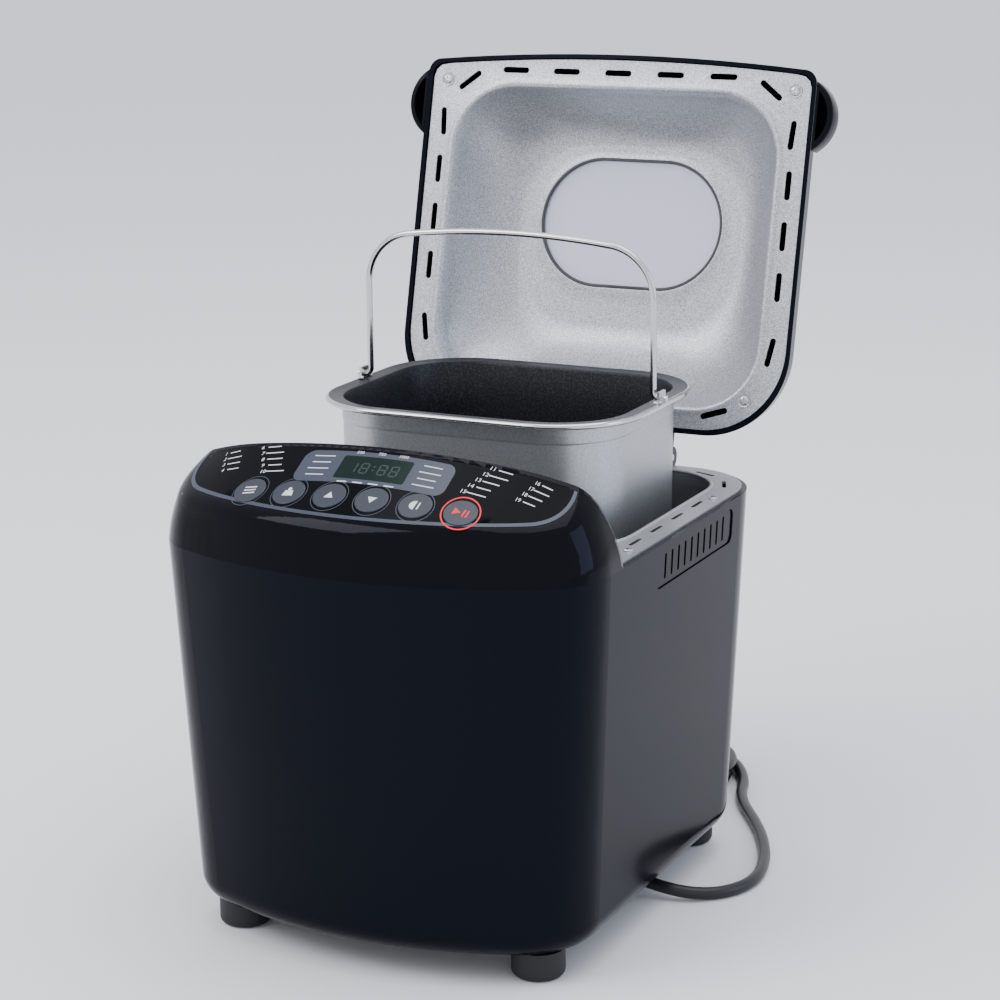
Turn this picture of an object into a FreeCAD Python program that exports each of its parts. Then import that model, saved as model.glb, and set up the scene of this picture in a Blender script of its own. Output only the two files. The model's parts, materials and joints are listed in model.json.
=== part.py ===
"""Countertop bread machine: outer housing with control fascia, hinged domed lid, oven chamber,
lift-out pan with bail handle and kneading paddle, belt drive, and a coiled mains lead.

Frame: x to the right, y to the back, z up, z = 0 on the table. The lid is shown open and the pan lifted.
All lengths are in millimetres and all angles in degrees.
"""
import FreeCAD, Part
import math
import os

V = FreeCAD.Vector

# ---- housing -------------------------------------------------------------------------------
body_width = 253.0          # across the sides at the seam
body_rear = 88.5            # rear wall at the seam
mouth_half_y = 92.0         # half the chamber mouth, front to back
ring_side = 20.0            # deck ring beside the mouth
ring_rear = 16.0            # deck ring behind the mouth
front_zone = 99.0           # mouth to the crown of the front: room for fascia, motor and boards
mouth_half_x = body_width / 2 - ring_side
chamber_y = body_rear - ring_rear - mouth_half_y    # centre of chamber, pan and spindle
body_front = chamber_y - mouth_half_y - front_zone  # crown of the bowed front at the seam
seam_z = 218.5              # top edge of the outer housing
ground_gap = 16.0           # table to the underside
side_lean = 0.05            # inward lean of the side walls, per mm of height
front_lean = 0.055          # inward lean of the front wall below the seam
rear_lean = 0.01            # inward lean of the rear wall
front_bow = 235.0           # plan radius of the bowed front
front_corner = 44.0         # plan radius of the front corners
rear_corner = 50.0          # plan radius of the rear corners
bottom_round = 14.0         # rounding of the bottom edge
wall = 2.5                  # moulded wall
underside_opening = 20.0    # inset of the opening that the base cover closes
ledge_width = 8.5          # shelf inside the rim that carries the deck ring
ledge_thick = 2.5
part_gap = 0.3              # gap between fixed pieces that lie side by side

# ---- feet ----------------------------------------------------------------------------------
foot_radius = 14.4
foot_half_span = body_width / 2 - 37.9
foot_rows = (body_front + 54.4, body_rear - 31.7)
foot_round = 4.0

# ---- deck, chamber and what it holds -------------------------------------------------------
deck_sheet = 1.6
deck_inset = 3.0            # deck edge inside the housing's outer face
deck_proud = 1.3            # deck top above the housing rim
mouth_corner = 38.0
collar_thick = 1.2
collar_drop = 5.0
liner_sheet = 1.0
liner_gap = 0.3
liner_flange = 3.0
chamber_floor = 62.0        # underside of the liner's floor
seat_height = 15.0          # pan's underside above the liner's underside
slot_length = 15.0
slot_width = 2.3
slot_pitch = 29.6
slot_inset = 13.0           # slot centres inside the housing's outer face
element_radius = 3.2
element_height = chamber_floor + 18.0
element_wall_gap = 9.5      # element centre line to the mouth's edge line
element_corner = 28.0
element_leg_half = 14.0
element_leg_bend = 8.0
element_leg_reach = 8.0     # leg beyond the liner
screw_head = 2.75
screw_shank = 1.5
screw_hole = 1.7

# ---- control fascia ------------------------------------------------------------------------
fascia_rear = body_front + 78.5   # rear face at the sides, at the seam
fascia_rear_lean = 0.26     # forward lean of the rear face, per mm of height
fascia_front_lean = 0.2     # backward lean of the front face
rear_line_bow = 1300.0      # plan radius of the line where fascia and lid meet
panel_crest = seam_z + 57.5       # highest point of the fascia, at its rear edge
panel_crest_y = fascia_rear - 18.5
panel_slope = 0.55          # fall towards the front
panel_crown = 403.0         # crown radius across the width
fascia_wall = 2.5
fascia_round = 14.0
overlay_thick = 0.8
overlay_inset = 11.0
overlay_rear_inset = 3.5
button_radius = 9.0
button_gap = 0.3
button_pitch = 24.2
button_row_y = body_front + 23.0
button_row_bow = 560.0
button_proud = 0.7
button_depth = 5.0
button_travel = 0.8
stem_radius = 3.0
stem_length = 3.5
board_depth = 20.0
board_thick = 1.6
board_width = 150.0
board_length = 31.0
lcd_x = 3.0
lcd_from_lid_line = 29.9    # display centre to the middle of the lid line, at the seam
lcd_gap = 1.6
board_from_lid_line = 37.4
lcd_width = 40.0
lcd_length = 16.5
lcd_module_depth = 4.0

# ---- lid -----------------------------------------------------------------------------------
hinge_y = body_rear + 12.6
hinge_z = seam_z + 1.9
lid_open_angle = 104.2
lid_plane = seam_z + 4.5    # underside of the lid's inner plate when closed
lid_half = body_width / 2 - 0.5
lid_front_gap = 1.8         # to the fascia's rear face
lid_rear = body_rear - 2.0
lid_front_corner = 8.0
lid_rear_corner = 50.0
lid_rim_drop = 1.5          # rim below the inner plate
lid_crest = lid_plane + 56.5
lid_fall = 0.04             # fall of the top towards the hinge
lid_crown = 600.0
lid_wall = 2.5
lid_round = 14.0
plate_sheet = 1.0
plate_inset = 3.2
dome_depth = 42.0
dome_half = lid_half - 20.0
window_half_x = 59.8
window_half_y = 39.8
window_margin = 10.2        # flat of the dome beside the window
window_y = chamber_y - 20.0
gasket_wall = 3.0
gasket_gap = 0.2
glass_thick = 2.0
knuckle_half = 11.0
knuckle_radius = 7.5
hinge_offset = 45.0         # knuckle centres either side of the middle
pin_radius = 2.0
pin_gap = 0.05
cheek_thick = 3.5
cheek_gap = 0.4
grip_reach = 11.5
grip_half = 20.2
grip_y = fascia_rear + 27.7
grip_thick = 14.0

# ---- pan -----------------------------------------------------------------------------------
pan_lift = 71.0             # how far the pan is shown above its seat
pan_back = 21.0             # and behind it, close to the rear edge of the mouth
pan_clear_x = 21.5          # pan wall to the edge of the mouth
pan_clear_y = 22.0
pan_half_x = mouth_half_x - pan_clear_x
pan_half_y = mouth_half_y - pan_clear_y
pan_corner = 40.0
pan_draft = 1.5             # how much narrower the pan is at its base, each side
pan_height = 128.0
pan_wall = 1.2
pan_floor = 1.6
rim_width = 9.5
rim_sheet = 1.6
rim_lip = 4.0
pan_seat_z = chamber_floor + seat_height     # underside of the pan's floor when seated
base_ring_radius = 35.8
base_ring_wall = 2.8
base_ring_height = 12.0
socket_gap = 3.2            # the pan moves back a little as it leaves the socket
socket_wall = 3.5
socket_height = 11.0
shaft_radius = 4.0
shaft_gap = 0.05
seal_radius = 8.0
coupling_radius = 20.0
coupling_width = 8.0
coupling_hub = 9.0
coupling_height = 6.5
coupling_clearance = 1.0
paddle_hub = 9.0
paddle_height = 20.0
paddle_reach = 40.0
paddle_thick = 5.0
bail_wire = 1.75
bail_leg_x = pan_half_x + 3.0
bail_height = 86.5
bail_corner = 29.0
bail_tilt = 7.0             # angle where the corner arc meets the gently arched top
bail_pivot_up = 2.3         # pivot above the rim
bail_bend = 3.5
bail_hole_gap = 0.08
bracket_sheet = 1.5

# ---- drive ---------------------------------------------------------------------------------
chassis_z = chamber_floor - 20.0
pulley_z = chassis_z - 18.0
chassis_sheet = 2.0
chassis_half = body_width / 2 - 40.5
chassis_rear = chamber_y + 84.0
chassis_front_gap = 33.0    # behind the housing's crown
pillar_rows = (chamber_y - 108.0, chamber_y + 72.0)
board_standoff = 35.0
pulley_thick = 10.0
large_pulley = 42.0
small_pulley = 9.0
belt_gap = 0.3
belt_thick = 1.8
belt_width = 7.0
motor_radius = 34.0
motor_gap = 12.0            # motor to the edge line of the mouth
motor_y = chamber_y - mouth_half_y - motor_gap - motor_radius
motor_length = 64.0
bearing_radius = 12.0

# ---- mains lead ----------------------------------------------------------------------------
cord_radius = 3.5
relief_length = 24.0
relief_start = (72.0, -33.5, 9.0)
relief_wide = 6.4
relief_narrow = 4.6
cord_points = [
    (96.0, -33.5, 9.0), (110.9, -35.1, 7.0), (125.5, -31.5, 4.8), (137.8, -22.9, 3.6), (146.2,
            -10.5, 3.6),
    (149.6, 4.1, 3.6), (148.0, 22.0, 3.6), (141.4, 45.1, 3.6), (130.6, 69.9, 3.6), (116.6, 94.1, 3.6),
    (101.5, 116.5, 3.6), (92.2, 136.4, 3.6), (87.6, 154.8, 3.6)]
coil_centre = (34.0, 156.5)
coil_inner = 31.0
coil_outer = 46.0
coil_bottom = 1.2
coil_top = 15.6
tie_band = 1.1
tie_width = 8.0
plug_radius = 12.5
plug_length = 34.0
plug_gap = 6.0              # between plug and coil
pin_spread = 9.5
pin_rise = 3.0


# ---- general helpers -----------------------------------------------------------------------
def block(x0, x1, y0, y1, z0, z1):
    return Part.makeBox(x1 - x0, y1 - y0, z1 - z0, V(x0, y0, z0))


def rod(x, y, z0, z1, radius):
    return Part.makeCylinder(radius, z1 - z0, V(x, y, z0), V(0, 0, 1))


def tube(x, y, z0, z1, outer, inner):
    return rod(x, y, z0, z1, outer).cut(rod(x, y, z0 - 1, z1 + 1, inner))


def rounded_wire(cx, cy, half_x, half_y, radius, z):
    """Rounded rectangle of four lines and four arcs at height z."""
    k = radius * (1 - math.sqrt(0.5))
    edges = []
    corners = [(1, -1), (1, 1), (-1, 1), (-1, -1)]
    for i, (sx, sy) in enumerate(corners):
        along_x = (cx + sx * (half_x - radius), cy + sy * half_y)
        along_y = (cx + sx * half_x, cy + sy * (half_y - radius))
        mid = (cx + sx * (half_x - k), cy + sy * (half_y - k))
        first, last = (along_x, along_y) if sx * sy < 0 else (along_y, along_x)
        edges.append(Part.Arc(V(*first, z), V(*mid, z), V(*last, z)).toShape())
        nx, ny = corners[(i + 1) % 4]
        to_x = (cx + nx * (half_x - radius), cy + ny * half_y)
        to_y = (cx + nx * half_x, cy + ny * (half_y - radius))
        nearest = to_x if nx * ny < 0 else to_y
        edges.append(Part.LineSegment(V(*last, z), V(*nearest, z)).toShape())
    return Part.Wire(edges)


def rounded_prism(cx, cy, half_x, half_y, radius, z0, z1):
    face = Part.Face(rounded_wire(cx, cy, half_x, half_y, radius, z0))
    return face.extrude(V(0, 0, z1 - z0))


def bowed_wire(half, front, rear, bow, front_radius, rear_radius, z):
    """Plan outline with a bowed front, tangent front corners, straight sides and rounded rear corners."""
    corner_x = half - front_radius
    corner_y = front + bow - math.sqrt((bow - front_radius) ** 2 - corner_x ** 2)
    ux, uy = corner_x / (bow - front_radius), (corner_y - front - bow) / (bow - front_radius)
    start = (ux * bow, front + bow + uy * bow)
    turn = math.hypot(1 + ux, uy)
    mid = (corner_x + front_radius * (1 + ux) / turn, corner_y + front_radius * uy / turn)
    k = rear_radius * (1 - math.sqrt(0.5))
    right = [
        Part.Arc(V(start[0], start[1], z), V(mid[0], mid[1], z), V(half, corner_y, z)).toShape(),
        Part.LineSegment(V(half, corner_y, z), V(half, rear - rear_radius, z)).toShape(),
        Part.Arc(V(half, rear - rear_radius, z), V(half - k, rear - k, z),
                 V(half - rear_radius, rear, z)).toShape()]
    back = Part.LineSegment(V(half - rear_radius, rear, z), V(rear_radius - half, rear, z)).toShape()
    left = [
        Part.Arc(V(rear_radius - half, rear, z), V(k - half, rear - k, z),
                 V(-half, rear - rear_radius, z)).toShape(),
        Part.LineSegment(V(-half, rear - rear_radius, z), V(-half, corner_y, z)).toShape(),
        Part.Arc(V(-half, corner_y, z), V(-mid[0], mid[1], z), V(-start[0], start[1], z)).toShape()]
    bow_edge = Part.Arc(V(-start[0], start[1], z), V(0, front, z), V(start[0], start[1], z)).toShape()
    return Part.Wire(right + [back] + left + [bow_edge])


def body_wire(z, inset):
    """The housing's plan outline at a height, moved inwards by inset. Above the seam it is the fascia's."""
    down = max(seam_z - z, 0.0)
    up = max(z - seam_z, 0.0)
    return bowed_wire(
        body_width / 2 - side_lean * (down + up) - inset,
        body_front + front_lean * down + fascia_front_lean * up + inset,
        body_rear - rear_lean * down - inset,
        front_bow - inset, front_corner - inset, rear_corner - inset, z)


def body_hull(z0, z1, inset):
    return Part.makeLoft([body_wire(z0, inset), body_wire(z1, inset)], True, True)


def edges_at(shape, z):
    return [e for e in shape.Edges if abs(e.BoundBox.ZMin - z) < 1e-4 and abs(e.BoundBox.ZMax - z) < 1e-4]


def obround(cx, cy, half_length, half_width, z0, z1, angle=0.0):
    """Slot with round ends, its length along x before it is turned by angle about z."""
    shape = rounded_prism(0, 0, half_length, half_width, half_width * 0.999, z0, z1)
    shape.rotate(V(0, 0, 0), V(0, 0, 1), angle)
    shape.translate(V(cx, cy, 0))
    return shape


def path_wire(points, z=None):
    """Straight runs joined by tangent arcs, each arc 0.45 of its shorter run."""
    pts = [V(*p) for p in points]
    edges, radii, at = [], [], pts[0]
    for before, corner, after in zip(pts, pts[1:], pts[2:]):
        inward, outward = corner - before, after - corner
        reach = 0.45 * min(inward.Length, outward.Length)
        turn = inward.getAngle(outward)
        radii.append(reach / math.tan(turn / 2))
        inward.normalize()
        outward.normalize()
        first, last = corner - inward * reach, corner + outward * reach
        towards = outward - inward
        towards.normalize()
        middle = corner + towards * (radii[-1] / math.cos(turn / 2) - radii[-1])
        edges.append(Part.LineSegment(at, first).toShape())
        edges.append(Part.Arc(first, middle, last).toShape())
        at = last
    edges.append(Part.LineSegment(at, pts[-1]).toShape())
    return Part.Wire(edges), radii


def swept_round(wire, radius):
    start = wire.Edges[0]
    direction = start.tangentAt(start.FirstParameter)
    ring = Part.Wire([Part.makeCircle(radius, wire.OrderedVertexes[0].Point, direction)])
    return wire.makePipeShell([ring], True, False)


def both_sides(shape):
    return [shape, shape.mirror(V(0, 0, 0), V(1, 0, 0))]


# ---- fascia geometry -----------------------------------------------------------------------
def rear_sag():
    """How far the middle of the lid line lies in front of its ends."""
    return rear_line_bow - math.sqrt(rear_line_bow ** 2 - (body_width / 2) ** 2)


def region_before_lid_line(shift):
    """Everything in front of the leaning, bowed line where fascia and lid meet, moved back by shift."""
    wires = []
    reach = 160.0
    sag = rear_line_bow - math.sqrt(rear_line_bow ** 2 - reach ** 2)
    for z in (seam_z - 70.0, seam_z + 100.0):
        side = fascia_rear + shift - fascia_rear_lean * (z - seam_z)
        crown = side - rear_sag()
        ends = crown + sag
        arc = Part.Arc(V(-reach, ends, z), V(0, crown, z), V(reach, ends, z)).toShape()
        front = body_front - 120.0
        rest = Part.makePolygon([V(reach, ends, z), V(reach, front, z), V(-reach, front, z),
                V(-reach, ends, z)])
        wires.append(Part.Wire([arc] + rest.Edges))
    return Part.makeLoft(wires, True, True)


def below_crowned_slope(lower, crest, crest_y, slope, crown):
    """Everything below a surface crowned in x that falls towards the front, lowered by a distance."""
    reach = 200.0
    rear_y = 140.0
    top = crest + slope * (rear_y - crest_y) - lower * math.sqrt(1 + slope ** 2)
    edge = top - (crown - math.sqrt(crown ** 2 - reach ** 2))
    floor = -400.0
    arc = Part.Arc(V(-reach, rear_y, edge), V(0, rear_y, top), V(reach, rear_y, edge)).toShape()
    rest = Part.makePolygon([V(reach, rear_y, edge), V(reach, rear_y, floor), V(-reach, rear_y, floor),
                             V(-reach, rear_y, edge)])
    length = 420.0
    return Part.Face(Part.Wire([arc] + rest.Edges)).extrude(V(0, -length, -slope * length))


def below_panel(lower):
    return below_crowned_slope(lower, panel_crest, panel_crest_y, panel_slope, panel_crown)


def panel_height(x, y):
    drop = panel_crown - math.sqrt(panel_crown ** 2 - x ** 2)
    return panel_crest + panel_slope * (y - panel_crest_y) - drop


def panel_place(x, y):
    """(point on the panel, its outward direction)."""
    direction = V(x / math.sqrt(panel_crown ** 2 - x ** 2), -panel_slope, 1)
    direction.normalize()
    return V(x, y, panel_height(x, y)), direction


def button_places():
    xs = [button_pitch * (i - 2.5) for i in range(6)]
    return [panel_place(x, button_row_y + x ** 2 / (2 * button_row_bow)) for x in xs]


def on_panel(x, y, low, high, radius):
    point, out = panel_place(x, y)
    return Part.makeCylinder(radius, high - low, point + out * low, out)


def panel_block(x, y, width, length, low, high):
    """Box that lies in the panel's plane at its middle, from low to high above its face."""
    shape = block(-width / 2, width / 2, -length / 2, length / 2, low, high)
    shape.rotate(V(0, 0, 0), V(1, 0, 0), math.degrees(math.atan(panel_slope)))
    shape.translate(V(x, y, panel_height(0, y)))
    return shape


def fascia_solid(inset, lower, shift, radius):
    shape = body_hull(seam_z, panel_crest + 24.0,
            inset).common(below_panel(lower)).common(region_before_lid_line(shift))
    top = [e for e in shape.Edges if e.BoundBox.ZMin > seam_z + 4
           and e.BoundBox.YMin < fascia_rear - 22 and not edge_is_rear(e, shift)]
    return shape.makeFillet(radius, top)


def edge_is_rear(edge, shift):
    """Does this edge lie on the fascia's rear face?"""
    middle = edge.valueAt((edge.FirstParameter + edge.LastParameter) / 2)
    sag = rear_line_bow - math.sqrt(rear_line_bow ** 2 - middle.x ** 2)
    face = fascia_rear + shift - fascia_rear_lean * (middle.z - seam_z) - rear_sag() + sag
    return abs(middle.y - face) < 0.5


def overlay_solid():
    prism = Part.Face(body_wire(seam_z, overlay_inset)).extrude(V(0, 0, 90.0))
    band = prism.common(below_panel(0.0)).cut(below_panel(overlay_thick))
    return band.common(region_before_lid_line(-overlay_rear_inset))


def control_parts():
    outer = fascia_solid(0.0, 0.0, 0.0, fascia_round)
    inner = fascia_solid(fascia_wall, fascia_wall, -fascia_wall, fascia_round - fascia_wall)
    fascia = outer.cut(inner)
    overlay = overlay_solid()
    fascia = fascia.cut(overlay)
    buttons, switches = [], []
    board_top = -board_depth + board_thick
    board_y = fascia_rear - rear_sag() - board_from_lid_line
    for point, out in button_places():
        hole = on_panel(point.x, point.y, -12, 6, button_radius + button_gap)
        fascia = fascia.cut(hole)
        overlay = overlay.cut(hole)
        cap = on_panel(point.x, point.y, -button_depth, button_proud, button_radius)
        rim = [e for e in cap.Edges if e.Length < 2 * math.pi * button_radius + 1
               and (e.BoundBox.Center - (point + out * button_proud)).Length < 0.5]
        cap = cap.makeFillet(0.5, rim)
        stem = on_panel(point.x, point.y, -button_depth - stem_length, -button_depth, stem_radius)
        buttons.append(cap.fuse(stem))
        low = -board_depth * 1.3
        switch = on_panel(point.x, point.y, low, -button_depth - stem_length - button_travel - 0.4, 2.6)
        switches.append(switch)
    board = panel_block(0, board_y, board_width, board_length, -board_depth, board_top)
    above_board = panel_block(0, board_y, 400.0, 200.0, board_top, 60.0)
    switches = [s.common(above_board) for s in switches]
    x, y = lcd_x, fascia_rear - rear_sag() - lcd_from_lid_line
    window = panel_block(x, y, lcd_width, lcd_length, -12.0, 6.0)
    overlay_window = overlay.common(window)
    overlay = overlay.cut(window)
    fascia = fascia.cut(window)
    lens = overlay_window
    module_top = -fascia_wall - lcd_gap
    module = panel_block(x, y, lcd_width + 6, lcd_length + 5, module_top - lcd_module_depth, module_top)
    return {
        "control_fascia": fascia, "panel_overlay": overlay, "lcd_lens": lens, "lcd_module": module,
        "control_board": board, "tact_switches": Part.makeCompound(switches),
        "button_menu": buttons[0], "button_weight": buttons[1], "button_up": buttons[2],
        "button_down": buttons[3], "button_colour": buttons[4], "button_start": buttons[5]}


# ---- housing and deck ----------------------------------------------------------------------
deck_screw_x = body_width / 2 - 9.9
deck_screws_at = [(s * deck_screw_x, y) for s in (-1, 1) for y in (body_rear - 69.0, fascia_rear + 29.5)]
vent_y0, vent_y1 = chamber_y - 65.0, chamber_y + 46.0
vent_z0, vent_z1 = seam_z - 24.5, seam_z - 4.6
vent_corner = 5.0
vent_recess = 0.8
vent_slots = 10
vent_pitch = 9.4
vent_slot_width = 2.6
vent_slot_z = (seam_z - 21.0, seam_z - 6.8)


def vent_prism(grow):
    """Bar along x with the vent panel's rounded outline."""
    half_y = (vent_y1 - vent_y0) / 2 + grow
    half_z = (vent_z1 - vent_z0) / 2 + grow
    shape = rounded_prism(0, 0, half_z, half_y, vent_corner, 60.0, 160.0)
    shape.rotate(V(0, 0, 0), V(0, 1, 0), 90)
    shape.translate(V(0, (vent_y0 + vent_y1) / 2, (vent_z0 + vent_z1) / 2))
    return shape


def vent_grille():
    skin = body_hull(vent_z0 - 8, seam_z, vent_recess).cut(body_hull(vent_z0 - 8, seam_z, wall))
    grille = skin.common(vent_prism(-part_gap))
    middle = (vent_y0 + vent_y1) / 2
    for i in range(vent_slots):
        y = middle + vent_pitch * (i - (vent_slots - 1) / 2)
        half_z = (vent_slot_z[1] - vent_slot_z[0]) / 2
        slot = obround(0, 0, half_z, vent_slot_width / 2, 60.0, 160.0)
        slot.rotate(V(0, 0, 0), V(0, 1, 0), 90)
        slot.translate(V(0, y, sum(vent_slot_z) / 2))
        grille = grille.cut(slot)
    return grille


def housing_parts():
    outer = body_hull(ground_gap, seam_z, 0.0)
    outer = outer.makeFillet(bottom_round, edges_at(outer, ground_gap))
    inner = body_hull(ground_gap + wall, seam_z + 1, wall)
    inner = inner.makeFillet(bottom_round - wall, edges_at(inner, ground_gap + wall))
    shell = outer.cut(inner)
    opening = Part.Face(body_wire(ground_gap, underside_opening)).extrude(V(0, 0, wall))
    shell = shell.cut(opening)
    ledge_top = seam_z + deck_proud - deck_sheet
    ledge = body_hull(ledge_top - ledge_thick, ledge_top, wall - 0.2)
    ledge = ledge.cut(Part.Face(body_wire(ledge_top - 5, wall + ledge_width)).extrude(V(0, 0, 10)))
    ledge = ledge.cut(region_before_lid_line(-30.0))
    shell = shell.fuse(ledge)
    for x, y in deck_screws_at:
        shell = shell.cut(rod(x, y, ledge_top - ledge_thick - 1, ledge_top + 1, screw_shank))
    for cutter in both_sides(vent_prism(0.0)):
        shell = shell.cut(cutter.common(body_hull(vent_z0 - 8, ledge_top, -5).cut(
            body_hull(vent_z0 - 8, ledge_top, wall))))
    cover_plate = Part.Face(body_wire(ground_gap, underside_opening + part_gap)).extrude(V(0, 0, wall))
    flange = Part.Face(body_wire(ground_gap, underside_opening - 5)).extrude(V(0, 0, 2.0))
    flange.translate(V(0, 0, wall))
    cover = cover_plate.fuse(flange)
    for x in (-70.0, 70.0):
        for y in pillar_rows:
            cover = cover.fuse(rod(x, y, ground_gap + wall, chassis_z, 6.0))
    for i in range(7):
        cover = cover.cut(obround(-45.0 + 15 * i, body_front + 53.0, 12.0, 1.6, ground_gap - 1,
                ground_gap + 6, 90))
    feet = []
    for x in (-foot_half_span, foot_half_span):
        for y in foot_rows:
            foot = rod(x, y, 0, ground_gap, foot_radius)
            feet.append(foot.makeFillet(foot_round, edges_at(foot, 0)))
    grille = both_sides(vent_grille())
    return {"outer_housing": shell, "base_cover": cover, "rubber_feet": Part.makeCompound(feet),
            "vent_grille_right": grille[0], "vent_grille_left": grille[1]}


def deck_slot_places():
    """(x, y, turn) of each slot in the deck ring, on a line that follows its outline."""
    side_x = body_width / 2 - slot_inset
    places = []
    for i in range(-2, 2):
        for s in (-1, 1):
            places.append((s * side_x, chamber_y - 6.7 + slot_pitch * i, 90.0))
    corner_y = body_rear - rear_corner
    radius = rear_corner - slot_inset
    for s in (-1, 1):
        for turn in (22.0, 66.0):
            a = math.radians(turn)
            places.append((s * (body_width / 2 - rear_corner + radius * math.cos(a)),
                           corner_y + radius * math.sin(a), s * (turn + 90.0)))
    for i in range(-2, 3):
        places.append((slot_pitch * i, body_rear - slot_inset + 4.0, 0.0))
        places.append((slot_pitch * i, chamber_y - mouth_half_y - 10.0, 0.0))
    return places


def chamber_parts():
    top = seam_z + deck_proud
    under = top - deck_sheet
    deck = Part.Face(body_wire(seam_z, deck_inset)).extrude(V(0, 0, deck_sheet))
    deck.translate(V(0, 0, under - seam_z))
    deck = deck.cut(region_before_lid_line(part_gap + 0.2))
    collar = rounded_prism(0, chamber_y, mouth_half_x + collar_thick, mouth_half_y + collar_thick,
                           mouth_corner + collar_thick, under - collar_drop, under)
    deck = deck.fuse(collar)
    deck = deck.cut(rounded_prism(0, chamber_y, mouth_half_x, mouth_half_y, mouth_corner,
            under - 20, top + 5))
    for x, y, turn in deck_slot_places():
        deck = deck.cut(obround(x, y, slot_length / 2, slot_width / 2, under - 1, top + 1, turn))
    screws = []
    for x, y in deck_screws_at:
        deck = deck.cut(rod(x, y, under - 1, top + 1, screw_hole))
        head = rod(x, y, top, top + 1.2, screw_head)
        screws.append(head.fuse(rod(x, y, under - 6, top, screw_shank)))

    grow = collar_thick + liner_gap
    half_x, half_y, corner = mouth_half_x + grow, mouth_half_y + grow, mouth_corner + grow
    liner = rounded_prism(0, chamber_y, half_x + liner_sheet, half_y + liner_sheet, corner + liner_sheet,
                          chamber_floor, under)
    flange = rounded_prism(0, chamber_y, half_x + liner_flange, half_y + liner_flange,
            corner + liner_flange,
                           under - liner_sheet, under)
    liner = liner.fuse(flange)
    liner = liner.cut(rounded_prism(0, chamber_y, half_x, half_y, corner,
            chamber_floor + liner_sheet, top))
    liner = liner.cut(rod(0, chamber_y, chamber_floor - 1, chamber_floor + 3, bearing_radius + 0.5))

    ex, ey = mouth_half_x - element_wall_gap, mouth_half_y - element_wall_gap - 1.5
    front = chamber_y - ey
    end = chamber_y - half_y - liner_sheet - element_leg_reach
    b, c, h = element_leg_bend, element_corner, element_leg_half
    k = 1 - math.sqrt(0.5)
    z = element_height

    def arc(p, q, r):
        return Part.Arc(V(*p, z), V(*q, z), V(*r, z)).toShape()

    def line(p, q):
        return Part.LineSegment(V(*p, z), V(*q, z)).toShape()

    rear = chamber_y + ey
    element_path = Part.Wire([
        line((h, end), (h, front - b)),
        arc((h, front - b), (h + b * k, front - b * k), (h + b, front)),
        line((h + b, front), (ex - c, front)),
        arc((ex - c, front), (ex - c * k, front + c * k), (ex, front + c)),
        line((ex, front + c), (ex, rear - c)),
        arc((ex, rear - c), (ex - c * k, rear - c * k), (ex - c, rear)),
        line((ex - c, rear), (c - ex, rear)),
        arc((c - ex, rear), (c * k - ex, rear - c * k), (-ex, rear - c)),
        line((-ex, rear - c), (-ex, front + c)),
        arc((-ex, front + c), (c * k - ex, front + c * k), (c - ex, front)),
        line((c - ex, front), (-h - b, front)),
        arc((-h - b, front), (-h - b * k, front - b * k), (-h, front - b)),
        line((-h, front - b), (-h, end))])
    element = swept_round(element_path, element_radius)
    for s in (-1, 1):
        leg_hole = Part.makeCylinder(element_radius + 0.4, 20, V(s * h, end, z), V(0, 1, 0))
        liner = liner.cut(leg_hole)
    clip_top = z - element_radius - 0.1
    inside_floor = chamber_floor + liner_sheet
    clips = []
    for x, y in ((ex, chamber_y - 30), (ex, chamber_y + 30), (-ex, chamber_y - 30), (-ex,
            chamber_y + 30)):
        foot = block(x - 5, x + 5, y - 4, y + 4, inside_floor, inside_floor + 1.2)
        clips.append(foot.fuse(block(x - 1, x + 1, y - 4, y + 4, inside_floor, clip_top)))
    sensor_z = 120.0
    wall_y = chamber_y - half_y
    sensor = Part.makeCylinder(2.5, 30, V(60, wall_y - 14, sensor_z), V(0, 1, 0))
    sensor = sensor.fuse(Part.makeCylinder(6.0, 1.5, V(60, wall_y - liner_sheet - 1.5, sensor_z),
            V(0, 1, 0)))
    liner = liner.cut(Part.makeCylinder(2.9, 12, V(60, wall_y - 8, sensor_z), V(0, 1, 0)))

    ring_inner = base_ring_radius + socket_gap
    ring_outer = ring_inner + socket_wall
    socket = tube(0, chamber_y, inside_floor, inside_floor + socket_height, ring_outer, ring_inner)
    socket = socket.fuse(tube(0, chamber_y, inside_floor, inside_floor + 1.2, ring_outer + 8,
            bearing_radius + 4))
    springs = []
    for s in (-1, 1):
        x = s * (ring_outer + 1.0)
        leaf = block(min(x, x + s), max(x, x + s), chamber_y - 7, chamber_y + 7,
                     inside_floor + 1.2, inside_floor + socket_height + 0.5)
        tab = block(min(x, x + 8 * s), max(x, x + 8 * s), chamber_y - 7, chamber_y + 7,
                    inside_floor + 1.2, inside_floor + 2.2)
        springs.append(leaf.fuse(tab))
    return {"deck_ring": deck, "deck_screws": Part.makeCompound(screws), "chamber_liner": liner,
            "heating_element": element, "element_clips": Part.makeCompound(clips),
            "temperature_sensor": sensor, "pan_socket": socket, "spring_clips": Part.makeCompound(springs)}


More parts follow.
